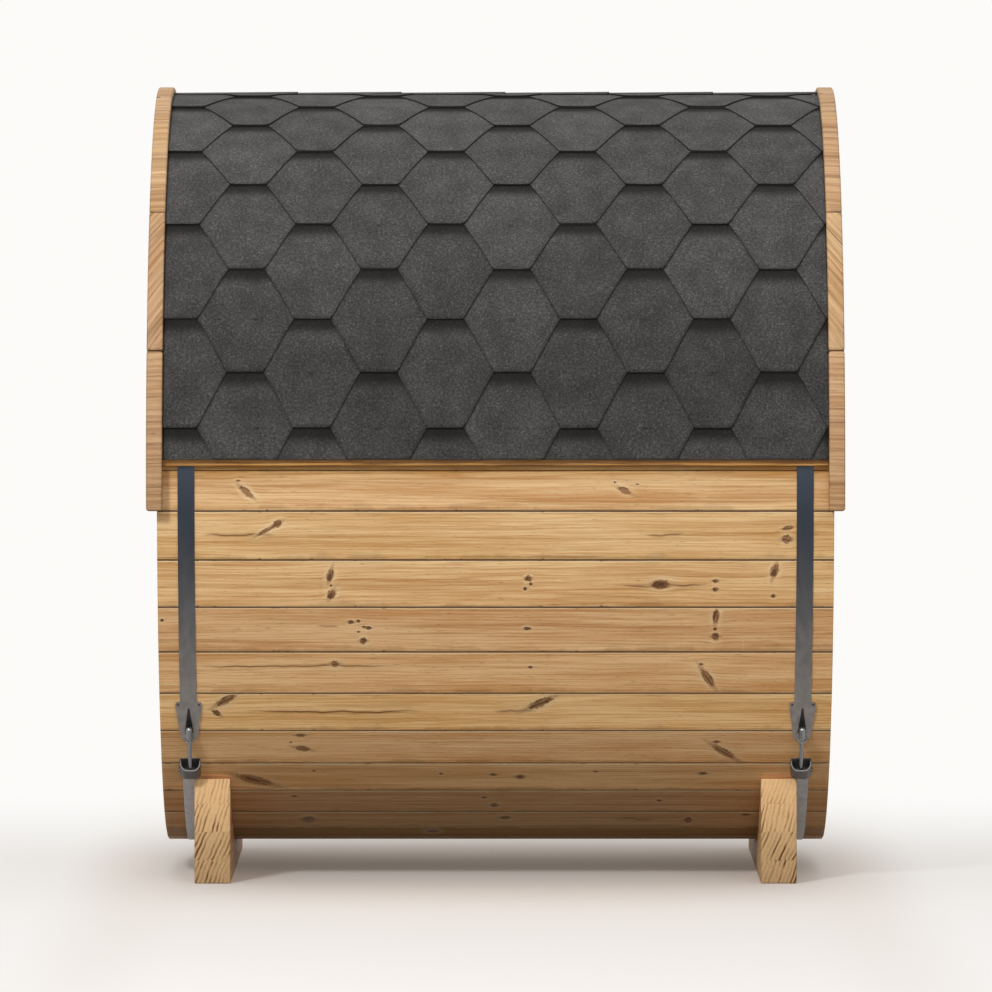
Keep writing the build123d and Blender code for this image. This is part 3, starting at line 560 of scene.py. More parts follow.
staveWood = plankWood(staveLook)
archWood = plankWood(archLook)
battenWood = plankWood(battenLook)
timberWood = plankWood(timberLook)
timberEnd = endGrainWood(endLook)
staveEnd = endGrainWood(staveEndLook)
shingleFelt = feltShingle(shingleLook)
shingleCut = cutFelt(cutLook)
bandSteel = coatedSteel(bandLook)
lowBandSteel = coatedSteel(lowBandLook)
bracketSteel = coatedSteel(bracketLook)
shadeSheetSteel = coatedSteel(shadeSheetLook)
rodSteel = turnedSteel(rodLook)
plyDeck = layeredPly(plyLook)
print("materials made")


# staves: outline of one stave (bead on one side, cove on the other) carried along the barrel

stave = {
    "thickness": 0.042, "gap": 0.0003, "arris": 0.0028, "beadWidth": 0.020, "beadHeight": 0.006, "rows": 66,
    "croze": (0.7342, 0.7768, 0.010),  # groove for the end wall: from, to and depth
    "endRound": 0.0015, "proud": 0.0005, "firstAngle": 112.5,
    "reach": 2.6,  # how far a knot bends the grain, in its own radii
    "seed": 41,
    # brightness and warmth of the boards from level downwards; the lowest board's very low brightness is painted
    # shade
    "tones": {0: (0.58, 0.5), 1: (0.6, 0.7), 2: (0.66, 0.55), 3: (0.61, 0.36), 4: (0.76, 0.42), 5: (1.0, 0.7),
              6: (0.86, 0.42), 7: (0.83, 0.46), 8: (0.6, 0.38), 9: (0.63, 0.49), 10: (0.15, 0.42)},
    "eavesShade": 0.2, "eavesAt": 0.04,  # painted shade under the eaves: how much darker the board gets, and where fully
    "strip": (0, 0.0400, 0.0022),  # one seam more, close under the eaves: stave, height on it and depth
    "stripShade": 0.05, "stripFrom": 0.0421, "stripEdge": 0.0075,
    "endTrim": (0.985, 0.95),  # how far the end rows draw in, across and through
    "endTone": 0.5,  # sawn ends are never darker, so they carry none of the painted shade
    "lowEdge": 0.42,  # the lower edge lies in shade, so its dark line is wider
    "worn": (1.0, 0.6, 0.38),  # a lower share widens the painted highlight on the upper arris: boards to 5, board 6 and the lower ones
    "streakReach": 1.02,
}
# knots on the staves from level downwards: stave, x and mm up from its middle, half length and width, turn, darkness
knotTable = [
    (0, -643, 15, 5.1, 3.2, 0, 0.8), (0, -623, -13, 21.6, 8.9, -40, 0.45), (0, 298, 11, 3.2, 3.2, 0, 0.9),
    (0, 322, -10, 17.2, 8.9, -25, 0.5), (0, 354, 6, 5.1, 2.5, 0, 0.7), (1, -575, 13, 25.5, 5.8, 30, 0.35),
    (1, -546, 31, 14, 9.6, 30, 0.75), (1, 728, -8, 12.7, 12.3, 0, 0.5), (1, 730, 20, 14, 6.4, 10, 0.5),
    (2, -414, 23, 17.2, 9.6, 76, 0.4), (2, -412, -4, 3.2, 3.4, 0, 0.9), (2, -411, -27, 13.4, 11, 62, 0.5),
    (2, 74, -12, 5.7, 5.4, 0, 0.7), (2, 82, 15, 8.9, 9.3, 0, 0.5), (2, 88, 0, 4.5, 4.7, 0, 0.9),
    (2, 413, -1, 22.9, 13.4, 0, 0.95), (2, 550, 8, 7.6, 6, 0, 0.5), (2, 550, -14, 7.6, 6.7, 0, 0.55),
    (2, 695, -31, 5.7, 6.1, 0, 0.8), (2, 698, 35, 18.5, 10.8, 76, 0.35), (3, -836, 27, 5.1, 4.9, 0, 0.9),
    (3, -363, 22, 8.3, 6.3, 0, 0.8), (3, -344, 25, 5.1, 4.9, 0, 0.8), (3, -344, -5, 3.8, 3.6, 0, 0.9),
    (3, -332, -30, 8.9, 10.1, 0, 0.75), (3, -331, 9, 4.5, 3.5, 0, 0.9), (3, -319, 6, 8.3, 5.7, 0, 0.7),
    (3, 79, 4, 8.9, 5.7, 0, 0.85), (3, 550, 3, 5.7, 5, 0, 0.85), (3, 551, -18, 10.2, 11.5, 0, 0.6),
    (3, 552, 38, 19.5, 9.6, 85, 0.4), (4, -404, 28, 10.2, 10.5, 0, 0.5), (4, 87, 18, 5.8, 4.6, 0, 0.85),
    (4, 516, 27, 5.1, 4.5, 0, 0.7), (4, 533, -14, 29.4, 11.7, -60, 0.45), (5, -703, -2, 12.2, 8.7, -43, 0.7),
    (5, -679, 42, 31.1, 11.7, 37, 0.4), (5, 113, 32, 35.3, 12.8, 31, 0.45), (5, 128, 36, 5.1, 5.8, 0, 0.9),
    (6, -518, 19, 2.6, 3.8, 0, 0.9), (6, -493, 46, 12.9, 7.4, 0, 0.5), (6, -488, -5, 19.7, 10.8, -15, 0.45),
    (6, 558, 21, 9, 5.8, 0, 0.6), (6, 578, -18, 37.6, 13, -42, 0.4), (7, -612, -14, 48.5, 19, -25, 0.4),
    (7, -461, 29, 5.2, 4.5, 0, 0.8), (7, -139, 16, 4.5, 5.8, 0, 0.8), (7, -6, 11, 8.4, 7, 0, 0.7),
    (7, 62, 1, 10.4, 10.6, 0, 0.7), (7, 254, 26, 5.2, 4.5, 0, 0.7), (7, 526, 17, 11, 8.1, 0, 0.7),
    (8, -513, 28, 8.4, 5.7, 0, 0.8), (8, -29, 22, 7.8, 7.2, 0, 0.7), (8, -3, -23, 9.8, 12.8, 0, 0.6),
    (8, 417, 4, 6.5, 7.5, 0, 0.8), (9, -480, 2, 16.3, 27.6, 0, 0.45), (9, 24, 16, 13.1, 16.2, 0, 0.5),
    (9, 493, -2, 9.1, 25.9, 0, 0.5), (9, 640, 41, 13, 11.3, 0, 0.5), (10, -161, 9, 16.4, 21.4, 0, 0.5),
]
# resin streaks in the same order
streakTable = [
    (1, -640, 2, 100, 3.4, 0, 0.8), (1, 424, 4, 57, 3.9, 0, 0.6), (2, 418, -4, 130, 3.6, 0, 0.75),
    (3, -420, 12, 30, 2.6, 0, 0.5), (4, -500, 21, 285, 3.2, 0, 0.75), (5, -405, 3, 250, 3.6, 0, 0.85),
    (5, 49, 5, 60, 3.4, 0, 0.7), (9, 357, 6, 60, 12.6, 0, 0.4),
]


def spreadKnots(knots, layers, reach, rowStep):
    # shares the knots out over the layers, so that two in one layer never meet; the largest choose first
    held = [[] for _ in range(layers)]
    for knot in sorted(knots, key=lambda one: -one[2] * one[3] * one[5]):
        room = reach * knot[2] + rowStep * 1.2
        for layer in held:
            if all(abs(knot[0] - other[0]) > room + reach * other[2] + rowStep * 3.2 for other in layer):
                layer.append(knot)
                break
    return held


def knotField(x, s, knots, reach, rowStep):
    # for each point: its offset from the knot whose reach is nearest, turned to the knot's own axes and divided by
    # its radii, then the knot's half width and darkness; points out of reach get a far value
    far = 9.0
    field = np.zeros(x.shape + (4,))
    field[..., 0:2] = far
    if not knots:
        return field
    table = np.array(knots)
    chosen = table[np.argmin(np.abs(x[..., None] - table[:, 0]) - reach * table[:, 2], -1)]
    dx, ds = x - chosen[..., 0], s - chosen[..., 1]
    cos, sin = np.cos(chosen[..., 4]), np.sin(chosen[..., 4])
    close = np.abs(dx) < reach * chosen[..., 2] + rowStep * 1.2
    field[..., 0] = np.where(close, (dx * cos + ds * sin) / chosen[..., 2], far * np.sign(dx))
    field[..., 1] = np.where(close, (ds * cos - dx * sin) / chosen[..., 3], far)
    field[..., 2] = chosen[..., 3]
    field[..., 3] = chosen[..., 5]
    return field


def staveOutline(stripped):
    # across and radius of the closed outline: face, rounded arris, side with bead, inner face, side with cove, arris
    half = math.pi / barrel["staves"]
    outer = barrel["radius"] * math.cos(half)
    inner = outer - stave["thickness"]
    middle, arris = (outer + inner) / 2, stave["arris"]
    sideAt = lambda radius: radius * math.tan(half) - stave["gap"] / 2 / math.cos(half)
    face = np.linspace(-1, 1, 11)[1:-1] * (sideAt(outer) - arris)
    seam, depth = stave["strip"][1:] if stripped else (stave["strip"][1], 0.0)
    seamS = seam + np.array([-1.0, -0.15, 0.15, 1.0]) * stave["strip"][2]
    face = np.concatenate([face[face < seamS[0]], seamS, face[face > seamS[-1]]])
    dip = np.where(np.abs(face - seam) < stave["strip"][2] * 0.5, depth, 0.0)
    turn = np.linspace(0, math.pi / 2, 5)
    roundS = sideAt(outer) - arris + arris * np.sin(turn)
    roundR = outer - arris + arris * np.cos(turn)
    roundS = np.minimum(roundS, sideAt(roundR))
    width, height = stave["beadWidth"], stave["beadHeight"]
    bend = (width ** 2 / 4 + height ** 2) / 2 / height
    step = np.linspace(-width / 2, width / 2, 9)
    bulge = np.sqrt(bend ** 2 - step ** 2) - (bend - height)
    beadS, beadR = sideAt(middle - step) + bulge * math.cos(half), middle - step - bulge * math.sin(half)
    coveS, coveR = -sideAt(middle + step) + bulge * math.cos(half), middle + step + bulge * math.sin(half)
    floorS = np.linspace(1, -1, 6) * sideAt(inner)
    across = np.concatenate([face, roundS, beadS, floorS, coveS, -roundS[::-1]])
    radius = np.concatenate([outer - dip, roundR, beadR, np.full(6, inner), coveR, roundR[::-1]])
    onFace = radius > outer - arris * 1.01
    edge = np.where(onFace, np.maximum(sideAt(outer) - np.abs(across), 0), 0.0)
    if stripped:
        edge = np.where(onFace, np.minimum(edge, np.abs(across - seam)), 0.0)
        # no joint line under the eaves
        edge = np.where(onFace & (across > seam + stave["strip"][2]), stave["stripEdge"], edge)
    edge = np.where(across < 0, edge * stave["lowEdge"], edge)
    # distance down from the upper edge of the face, which sets the painted highlight on the upper arris
    upper = np.where(onFace & (across > 0), np.maximum(sideAt(outer) - across, 0), 0.05)
    inside = np.isclose(radius, inner)
    edge = np.where(inside, np.maximum(sideAt(inner) - np.abs(across), 0), edge)
    return across, radius, edge, inside, upper


def tableRows(table, level):
    # the rows of a table that lie on one stave, in metres and radians
    return [(x / 1e3, s / 1e3, long / 1e3, wide / 1e3, math.radians(turn), dark)
            for number, x, s, long, wide, turn, dark in table if number == level]


def buildStaves():
    chance = np.random.default_rng(stave["seed"])
    outlines = {True: staveOutline(True), False: staveOutline(False)}
    _, radius, _, inside, _ = outlines[False]
    length, croze = barrel["halfLength"], stave["croze"]
    rowStep = 2 * length / (stave["rows"] - 1)
    turn = 360 / barrel["staves"]
    stops = [croze[0], croze[0] + 1e-4, croze[1] - 1e-4, croze[1]]
    x = np.sort(np.concatenate([np.linspace(-length, length, stave["rows"]), stops, [-one for one in stops],
                                [length - stave["endRound"], stave["endRound"] - length]]))
    cut = inside[None, :] * ((np.abs(x) > croze[0]) & (np.abs(x) < croze[1]))[:, None] * croze[2]
    middle = (radius.max() + radius.min()) / 2
    trim = (np.abs(x) > length - 1e-6)[:, None]
    groups = ["top", "upper_left", "left", "lower_left", "floor", "lower_right", "right", "upper_right"]
    for groupNumber, group in enumerate(groups):
        parts = []
        for place in range(6):
            angle = stave["firstAngle"] - turn * (groupNumber * 6 + place)
            level = round(-angle / turn)
            across, radius, edge, inside, upper = outlines[level == stave["strip"][0]]
            s = np.where(trim, across * stave["endTrim"][0], across) + 0 * x[:, None]
            r = np.where(trim, middle + (radius - middle) * stave["endTrim"][1], radius + cut)
            r = r + chance.uniform(-1, 0.3) * stave["proud"]
            a = math.radians(angle)
            rows = np.broadcast_to(x[:, None], s.shape)
            points = np.stack([rows, -r * math.cos(a) + s * math.sin(a),
                               barrel["axisHeight"] + r * math.sin(a) + s * math.cos(a)], -1)
            knots, streaks = tableRows(knotTable, level), tableRows(streakTable, level)
            if level not in stave["tones"]:
                # boards that the tables leave out get 3 to 7 knots of 8 to 22 mm and one faint streak
                count = chance.integers(3, 8)
                knots = [(chance.uniform(-0.8, 0.8), chance.uniform(-0.045, 0.045), size * chance.uniform(1, 2.4),
                          size, chance.uniform(-0.8, 0.8), chance.uniform(0.4, 0.9))
                         for size in chance.uniform(0.004, 0.011, count)]
                streaks = [(chance.uniform(-0.6, 0.6), chance.uniform(-0.03, 0.03), chance.uniform(0.05, 0.2),
                            0.0034, 0.0, chance.uniform(0.2, 0.5))]
            tone = chance.uniform(0.48, 0.66)
            pith = chance.uniform(0.02, 0.11) * chance.choice([-1, 1])
            seed = chance.uniform(0, 1)
            tone, seed = stave["tones"].get(level, (tone, seed))
            # painted shade of the eaves: the stave under them darkens towards its top, and more above the extra seam;
            # sawn ends take none of it
            shade = stave["eavesShade"] * np.clip(s / stave["eavesAt"], 0, 1) ** 1.5
            shade = shade + stave["stripShade"] * (s > stave["stripFrom"])
            toned = np.where(trim, max(tone, stave["endTone"]), tone - shade * (level == stave["strip"][0]))
            board = np.stack([toned, np.full(s.shape, pith), edge + 0 * s, np.full(s.shape, seed)], -1)
            streak = knotField(rows, s, streaks, stave["streakReach"], rowStep)
            # the width of the painted highlight on the upper arris rides in the streak field
            streak[..., 2] = upper * stave["worn"][min(max(level - 5, 0), 2)]
            attributes = {"board": board, "streak": streak}
            layers = spreadKnots(knots, len(staveLook["layers"]), stave["reach"], rowStep)
            for name, layer in zip(staveLook["layers"], layers):
                attributes[name] = knotField(rows, s, layer, stave["reach"], rowStep)
            parts.append(sweptPart(points, np.stack([rows, s], -1), attributes, 0, 1))
        makePiece("staves_" + group, parts, [staveWood, staveEnd], [group + "_staves"], crease=32)


buildStaves()
print("staves laid")


# rounded bars: a rectangle with rounded corners carried along a path, drawn in at both ends

def barOutline(width, height, rounding, steps=4):
    # corner middles and the directions from them, one after another round the outline
    turn = (np.arange(4)[:, None] * math.pi / 2 + np.linspace(0, math.pi / 2, steps)[None, :]).ravel()
    sideways, upright = np.repeat([1, -1, -1, 1], steps), np.repeat([1, 1, -1, -1], steps)
    return sideways * (width / 2 - rounding), upright * (height / 2 - rounding), np.cos(turn), np.sin(turn)


def barPart(place, length, width, height, rounding, endRound, rows, board, knots=(), turnGrain=None):
    # place puts (distance along, across, up) into the model; near an end the outline follows a quarter circle inwards
    theta = np.radians([14, 30, 50, 70, 90])
    start = endRound * (1 - np.cos(theta))
    t = np.concatenate([start - start[0], np.linspace(endRound, length - endRound, rows)[1:-1],
                        (length - start + start[0])[::-1]])
    drawn = endRound * (1 - np.sin(theta))
    inset = np.concatenate([drawn, np.zeros(rows - 2), drawn[::-1]])[:, None]
    cornerW, cornerH, outW, outH = barOutline(width, height, rounding)
    w = (cornerW + rounding * outW)[None, :] * (1 - 2 * inset / width)
    h = (cornerH + rounding * outH)[None, :] * (1 - 2 * inset / height)
    t = np.broadcast_to(t[:, None], w.shape)
    points = place(t, w, h)
    edge = np.minimum(0.05, np.minimum(t, length - t))  # to the nearer end; the long edges keep no dark line
    tone, pith, seed = board
    facts = np.stack([np.full(t.shape, tone), np.full(t.shape, pith), edge, np.full(t.shape, seed)], -1)
    uv = np.stack([t, w + h], -1) if turnGrain is None else turnGrain(t, w, h)
    attributes = {"board": facts}
    if knots is not None:
        attributes["knotA"] = knotField(uv[..., 0], uv[..., 1], list(knots), arch["knotReach"], arch["rowStep"])
    return sweptPart(points, uv, attributes)


# arched trim at both ends, eight sawn segments each

arch = {
    "inner": 0.9503, "height": 0.050, "thickness": 0.040, "x": 0.852, "round": 0.0048, "endRound": 0.0075,
    "drop": 3.46, "seed": 7, "rows": 26, "gap": 0.0006, "knotReach": 3.2, "rowStep": 0.03,
    "slant": (1.57, 0.62, 1.52, 1.6),  # how the grain of each segment leans, from the lowest up
    "coarse": (0.85, 0.8, 0.42, 0.36),  # and how wide its rings are
    "knots": {3: [(0.0, 0.024, 0.005, 0.0035, 0.0, 0.9)], 2: [(0.004, -0.181, 0.006, 0.003, 0.2, 0.8)]},
}


def buildArches():
    chance = np.random.default_rng(arch["seed"])
    middle = arch["inner"] + arch["height"] / 2
    sweep = (90 + arch["drop"]) / 4
    for end, side in ends:
        for hand, mirror in hands:
            parts = []
            for number in range(4):
                low = math.radians(-arch["drop"] + number * sweep) + arch["gap"] / 2 / middle
                length = math.radians(sweep) * middle - arch["gap"]

                def place(t, w, h):
                    point = ringPoint(side * arch["x"] + w, middle + h, low + t / middle)
                    return point * np.array([1, mirror, 1])

                # sawn from straight planks: the grain of each segment runs along its chord or slants across it
                slant = -side * arch["slant"][number] + chance.uniform(-0.04, 0.04)
                coarse = arch["coarse"][number]

                def grain(t, w, h):
                    up, out = t - length / 2, w + h * 0.8
                    u = up * math.cos(slant) + out * math.sin(slant)
                    v = out * math.cos(slant) - up * math.sin(slant)
                    return np.stack([u, v], -1) * coarse

                board = (chance.uniform(0.3, 0.9), chance.uniform(-0.02, 0.02), chance.uniform(0.45, 0.8))
                knots = [(u * coarse, v * coarse, *rest) for u, v, *rest in arch["knots"].get(number, [])]
                parts.append(barPart(place, length, arch["thickness"], arch["height"], arch["round"],
                                     arch["endRound"], arch["rows"], board, knots, grain))
            makePiece(f"trim_{end}_{hand}", parts, [archWood], [f"{end}_arch_{hand}"], crease=50)


buildArches()
print("arched trim cut")


# eaves battens

batten = {"width": 0.040, "height": 0.016, "inner": 0.9517, "show": 0.015, "edge": 4.0, "halfLength": 0.8317,
          "round": 0.002, "rows": 24, "seed": 19}


def buildBattens():
    chance = np.random.default_rng(batten["seed"])
    top = batten["inner"] + batten["height"]
    centre = math.radians(batten["edge"]) + (batten["width"] / 2 - batten["show"]) / top
    radius = batten["inner"] + batten["height"] / 2
    for hand, mirror in hands:
        def place(t, w, h):
            out = np.array([-math.cos(centre), math.sin(centre)])
            up = np.array([math.sin(centre), math.cos(centre)])
            y = out[0] * (radius + h) + up[0] * w
            z = barrel["axisHeight"] + out[1] * (radius + h) + up[1] * w
            return np.stack([t - batten["halfLength"], y * mirror, z], -1)
        board = (chance.uniform(0.3, 0.8), 0.01, chance.uniform(0, 1))
        part = barPart(place, 2 * batten["halfLength"], batten["width"], batten["height"], batten["round"],
                       batten["round"], batten["rows"], board, None)
        makePiece("eaves_" + hand, [part], [battenWood], ["eaves_batten_" + hand], crease=50)


buildBattens()
print("eaves battens set")


# shingles: each course is a sheet over the bent deck, a strip with hexagonal tabs, thickened inwards

roof = {
    "deck": 0.977, "base": 0.9771, "thickness": 0.003, "lap": 0.00315, "exposure": 0.1405, "headlap": 0.020,
    "pitch": 0.3333, "tip": 0.093, "shift": 0.0415, "eaves": 4.0, "starter": 0.0783, "halfLength": 0.8317,
    "courses": 12, "seed": 23, "slope": 0.886, "litCut": 0.0012, "tabColumns": 17, "tabRows": 12, "lift": 0.0016,
    "stray": 0.0012, "ridgeGap": 0.0003, "past": 0.12, "least": 0.004,
}


def courseSheet(number, chance):
    # x along the roof, v up the slope from the tips; the radius falls by one lap for each exposure so courses overlap
    exposure, pitch, tip, half = roof["exposure"], roof["pitch"], roof["tip"], roof["halfLength"]
    eaves = math.radians(roof["eaves"])
    tipAngle = eaves + roof["starter"] / roof["deck"] + (number - 2) * exposure / roof["deck"]
    low = max(0.0, (eaves - tipAngle) * roof["deck"])
    span = 2 * exposure + roof["headlap"]
    high = min(span, (math.pi / 2 - tipAngle) * roof["deck"] - roof["ridgeGap"])
    shift = roof["shift"] + pitch / 2 * ((number + 1) % 2)
    centres = shift + pitch * np.arange(-4, 5)
    centres = centres[np.abs(centres) < half + roof["past"]]
    tones = chance.uniform(0, 1, len(centres))
    lifts = chance.uniform(0.1, 1, len(centres)) * roof["lift"]
    strays = chance.uniform(-1, 1, (2, len(centres))) * roof["stray"]
    xs, vs, rises, gaps, tints, faces, begin = [], [], [], [], [], [], 0
    columns, tops = np.linspace(-1, 1, roof["tabColumns"]), []
    if number > 0:
        v = np.linspace(low, min(exposure, high), roof["tabRows"])
        for centre, tone, lift, strayX, strayV in zip(centres, tones, lifts, *strays):
            wide = tip / 2 + (pitch / 2 - tip) * v / exposure  # half width of a tab
            left = np.maximum(-half - centre, -wide)
            right = np.minimum(half - centre, wide)
            if right[-1] - left[-1] < roof["least"]:
                continue
            right = np.maximum(right, left)
            x = centre + left[:, None] + (right - left)[:, None] * (columns + 1)[None, :] / 2
            free = (1 - v / exposure)[:, None]
            tops.append(x[-1])
            # distance to the slanting cut; a left cut faces the light, so its dark rim is thinner
            gap = (wide[:, None] - np.abs(x - centre)) * roof["slope"] + roof["litCut"] * (x < centre - 1e-6)
            gap = np.minimum(gap, v[:, None] + 0.05 * (low > 0))
            inSide = (np.abs(x) < half - 1e-6)
            xs.append((x + strayX * free * inSide).ravel())
            vs.append((v[:, None] + strayV * free * (low == 0) + 0 * x).ravel())
            rises.append((lift * free ** 2 * (0.25 + np.abs(columns) ** 3)[None, :]).ravel())
            gaps.append(gap.ravel())
            tints.append(np.full(x.size, tone))
            faces.append(gridQuads(len(v), len(columns), False) + begin)
            begin += x.size
    if high > exposure or number == 0:
        bottom = exposure if number > 0 else low
        fill = np.concatenate([np.linspace(-half, half, 61)] + tops)
        x = np.unique(np.round(fill, 6))
        x = x[np.concatenate([[True], np.diff(x) > 2e-5])]
        v = bottom + (high - bottom) * np.array([0, 0.02, 0.06, 0.15, 0.3, 0.5, 0.7, 0.85, 1.0])
        gridX, gridV = np.broadcast_arrays(x[None, :], v[:, None])
        notch = shift + pitch / 2 + pitch * np.round((gridX - shift - pitch / 2) / pitch)
        beside = np.maximum(np.abs(gridX - notch) - tip / 2, 0)
        gap = np.hypot(beside, gridV - bottom) if number > 0 else gridV - bottom + 0.05
        nearest = np.argmin(np.abs(gridX[..., None] - centres), -1)
        xs.append(gridX.ravel())
        vs.append(gridV.ravel())
        rises.append(np.zeros(gridX.size))
        gaps.append(gap.ravel())
        tints.append(tones[nearest].ravel())
        faces.append(gridQuads(len(v), len(x), False) + begin)
    x, v, rise, gap, tint = [np.concatenate(one) for one in (xs, vs, rises, gaps, tints)]
    faces = np.concatenate(faces)
    keys = np.round(np.stack([x, v], 1), 5)
    _, first, back = np.unique(keys, axis=0, return_index=True, return_inverse=True)
    faces = back.reshape(-1)[faces]
    x, v, rise, gap, tint = [one[first] for one in (x, v, rise, gap, tint)]
    area = np.abs((x[faces[:, 2]] - x[faces[:, 0]]) * (v[faces[:, 3]] - v[faces[:, 1]])
                  - (v[faces[:, 2]] - v[faces[:, 0]]) * (x[faces[:, 3]] - x[faces[:, 1]]))
    whole = (area > 1e-8) & (np.array([len(set(face)) for face in faces.tolist()]) == 4)
    faces = faces[whole]
    used, faces = np.unique(faces, return_inverse=True)
    faces = faces.reshape(-1, 4)
    x, v, rise, gap, tint = [one[used] for one in (x, v, rise, gap, tint)]
    radius = roof["base"] + roof["thickness"] + roof["lap"] * (span - v) / exposure + rise
    points = ringPoint(x, radius, tipAngle + v / roof["deck"])
    tab = np.stack([tint, v, gap, np.ones(len(x))], 1)
    uv = np.stack([x + number * 0.731, v + number * 0.317], 1)  # each course has its own stretch of granules
    return {"points": points, "faces": [faces], "slots": [0], "uv": uv, "attributes": {"tab": tab}}


def thicken(piece, thickness):
    # grows the sheet inwards; its rim takes the second material
    solid = piece.modifiers.new("thickness", "SOLIDIFY")
    solid.thickness = thickness
    solid.offset = -1
    solid.material_offset_rim = 1


def fromAxis(points):
    # which way is out for a sheet on the roof
    return points * np.array([0, 1, 1]) - np.array([0, 0, barrel["axisHeight"]])


def buildShingles():
    chance = np.random.default_rng(roof["seed"])
    for hand, mirror in hands:
        parts = [courseSheet(number, chance) for number in range(roof["courses"])]
        for part in parts:
            part["points"] = part["points"] * np.array([1, mirror, 1])
        piece = makePiece("shingles_" + hand + "_courses", parts, [shingleFelt, shingleCut],
                          ["shingles_" + hand], crease=30, outward=fromAxis)
        thicken(piece, roof["thickness"])


buildShingles()
print("shingles nailed")


# ridge cap: short lengths of felt bent over the ridge, each lying on the one before

ridge = {"width": 0.136, "pieces": 6, "lap": 0.05, "rise": 0.0026, "droop": 0.0022, "thin": 0.8, "columns": 15,
         "rows": 9, "seed": 5}


def buildRidge():
    chance = np.random.default_rng(ridge["seed"])
    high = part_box("ridge_cap")[1]
    radius = high[2] - barrel["axisHeight"] - ridge["rise"]
    half = roof["halfLength"]
    show = (2 * half - ridge["lap"]) / ridge["pieces"]
    parts = []
    for number in range(ridge["pieces"]):
        t = np.linspace(0, 1, ridge["rows"])
        x = -half + number * show + t * (show + ridge["lap"])
        spread = np.linspace(-1, 1, ridge["columns"])
        swing = spread * ridge["width"] / 2 / radius
        gridX, gridA = np.broadcast_arrays(x[:, None], math.pi / 2 + swing[None, :])
        rise = ridge["rise"] * t[:, None] - ridge["droop"] * np.abs(spread)[None, :] ** 3
        points = ringPoint(gridX, radius + rise, gridA)
        across = swing[None, :] * radius + 0 * gridX
        gap = np.minimum(ridge["width"] / 2 - np.abs(across), (1 - t)[:, None] * show)
        tab = np.stack([np.full(gridX.size, chance.uniform(0.3, 0.9)), np.full(gridX.size, 0.1), gap.ravel(),
                        np.ones(gridX.size)], 1)
        faces = gridQuads(ridge["rows"], ridge["columns"], False)
        uv = np.stack([gridX, across + number], -1).reshape(-1, 2)
        parts.append({"points": points.reshape(-1, 3), "faces": [faces], "slots": [0], "uv": uv,
                      "attributes": {"tab": tab}})
    piece = makePiece("ridge_felt", parts, [shingleFelt, shingleCut], ["ridge_cap"], crease=30,
                      outward=fromAxis)
    thicken(piece, roof["thickness"] * ridge["thin"])


buildRidge()
print("ridge capped")


# cradles: the outline with its hollow seat, carried through the thickness of the timber

cradle = {
    "half": 0.59556, "top": 0.2666, "x": (0.6735, 0.7645), "seat": 0.9501, "relief": 0.9517, "strap": 0.7520,
    "round": 0.003, "between": (0.70, 0.73), "footSteps": 10, "footEnd": 0.03,
}


def cradleOutline(seat, inset):
    # bottom, end, land, hollow seat and back, anticlockwise from the front lower corner; inset draws it in
    half, top, rounding = cradle["half"] - inset, cradle["top"] - inset, cradle["round"]
    turn = np.linspace(0, math.pi / 2, 4)
    grow = seat + inset
    edge = math.acos((barrel["axisHeight"] - top) / grow)
    arc = np.linspace(edge, -edge, 49)
    bottom = np.linspace(-1, 1, cradle["footSteps"] + 2)[1:-1] * (half - cradle["footEnd"])
    up, along = rounding * np.sin(turn), rounding * np.cos(turn)
    y = np.concatenate([bottom, half - rounding + up, half - rounding + along, grow * np.sin(arc),
                        -half + rounding - up, -half + rounding - along])
    z = np.concatenate([np.full(len(bottom), inset), inset + rounding - along, top - rounding + up,
                        barrel["axisHeight"] - grow * np.cos(arc), top - rounding + along, inset + rounding - up])
    return y, z


def buildCradles():
    rounding = cradle["round"]
    low, high = cradle["x"]
    theta = np.radians([14, 45, 90])
    step = rounding * (1 - np.cos(theta))
    near = low + step - step[0]
    far = (high - step + step[0])[::-1]
    x = np.concatenate([near, cradle["between"], [cradle["strap"], cradle["strap"] + 1e-4], far])
    inset = np.concatenate([rounding * (1 - np.sin(theta)), np.zeros(4), (rounding * (1 - np.sin(theta)))[::-1]])
    seat = np.where(x > cradle["strap"] + 5e-5, cradle["relief"], cradle["seat"])
    outlines = [cradleOutline(one, draw) for one, draw in zip(seat, inset)]
    y, z = np.array([one[0] for one in outlines]), np.array([one[1] for one in outlines])
    gridX = np.broadcast_to(x[:, None], y.shape)
    for end, side in ends:
        points = np.stack([side * gridX, y, z], -1)
        facts = (0.6, 0.02, 0.05, 0.3 * side + 0.4)  # tone, pith, distance to an edge and seed
        part = sweptPart(points, np.stack([y, z], -1), {"board": np.broadcast_to(facts, y.shape + (4,))})
        quads, caps = part["faces"]
        middle = part["points"][quads].mean(1)
        atEnd = np.abs(middle[:, 1]) > cradle["half"] - rounding * 0.7
        part["faces"] = [quads[~atEnd], quads[atEnd], caps]
        part["slots"] = [0, 1, 0]
        makePiece(f"cradle_{end}", [part], [timberWood, timberEnd], [f"{end}_cradle"], crease=40)


buildCradles()
print("cradles shaped")


# tensioners: threaded rods with capped nuts, and a dark sheet behind the hole of each anchor plate as painted shade

tensioner = {
    "x": 0.7735, "angle": -45.5, "rodOut": 0.016, "rodLow": -0.0790, "rodHigh": 0.0612, "rodRadius": 0.0044,
    "pitch": 0.003, "thread": 0.0004, "nutLow": -0.0751, "nutHeight": 0.008, "capLow": 0.0611, "flange": 0.006,
    "capHigh": 0.0950, "dome": 0.0084, "nutRadius": 0.0098, "nutRound": 0.0008, "columns": 24,
    "shadeSheet": (0.0500, 0.1660, 0.0195, 0.0325), "shadeSheetRadius": (0.95005, 0.9504),
}


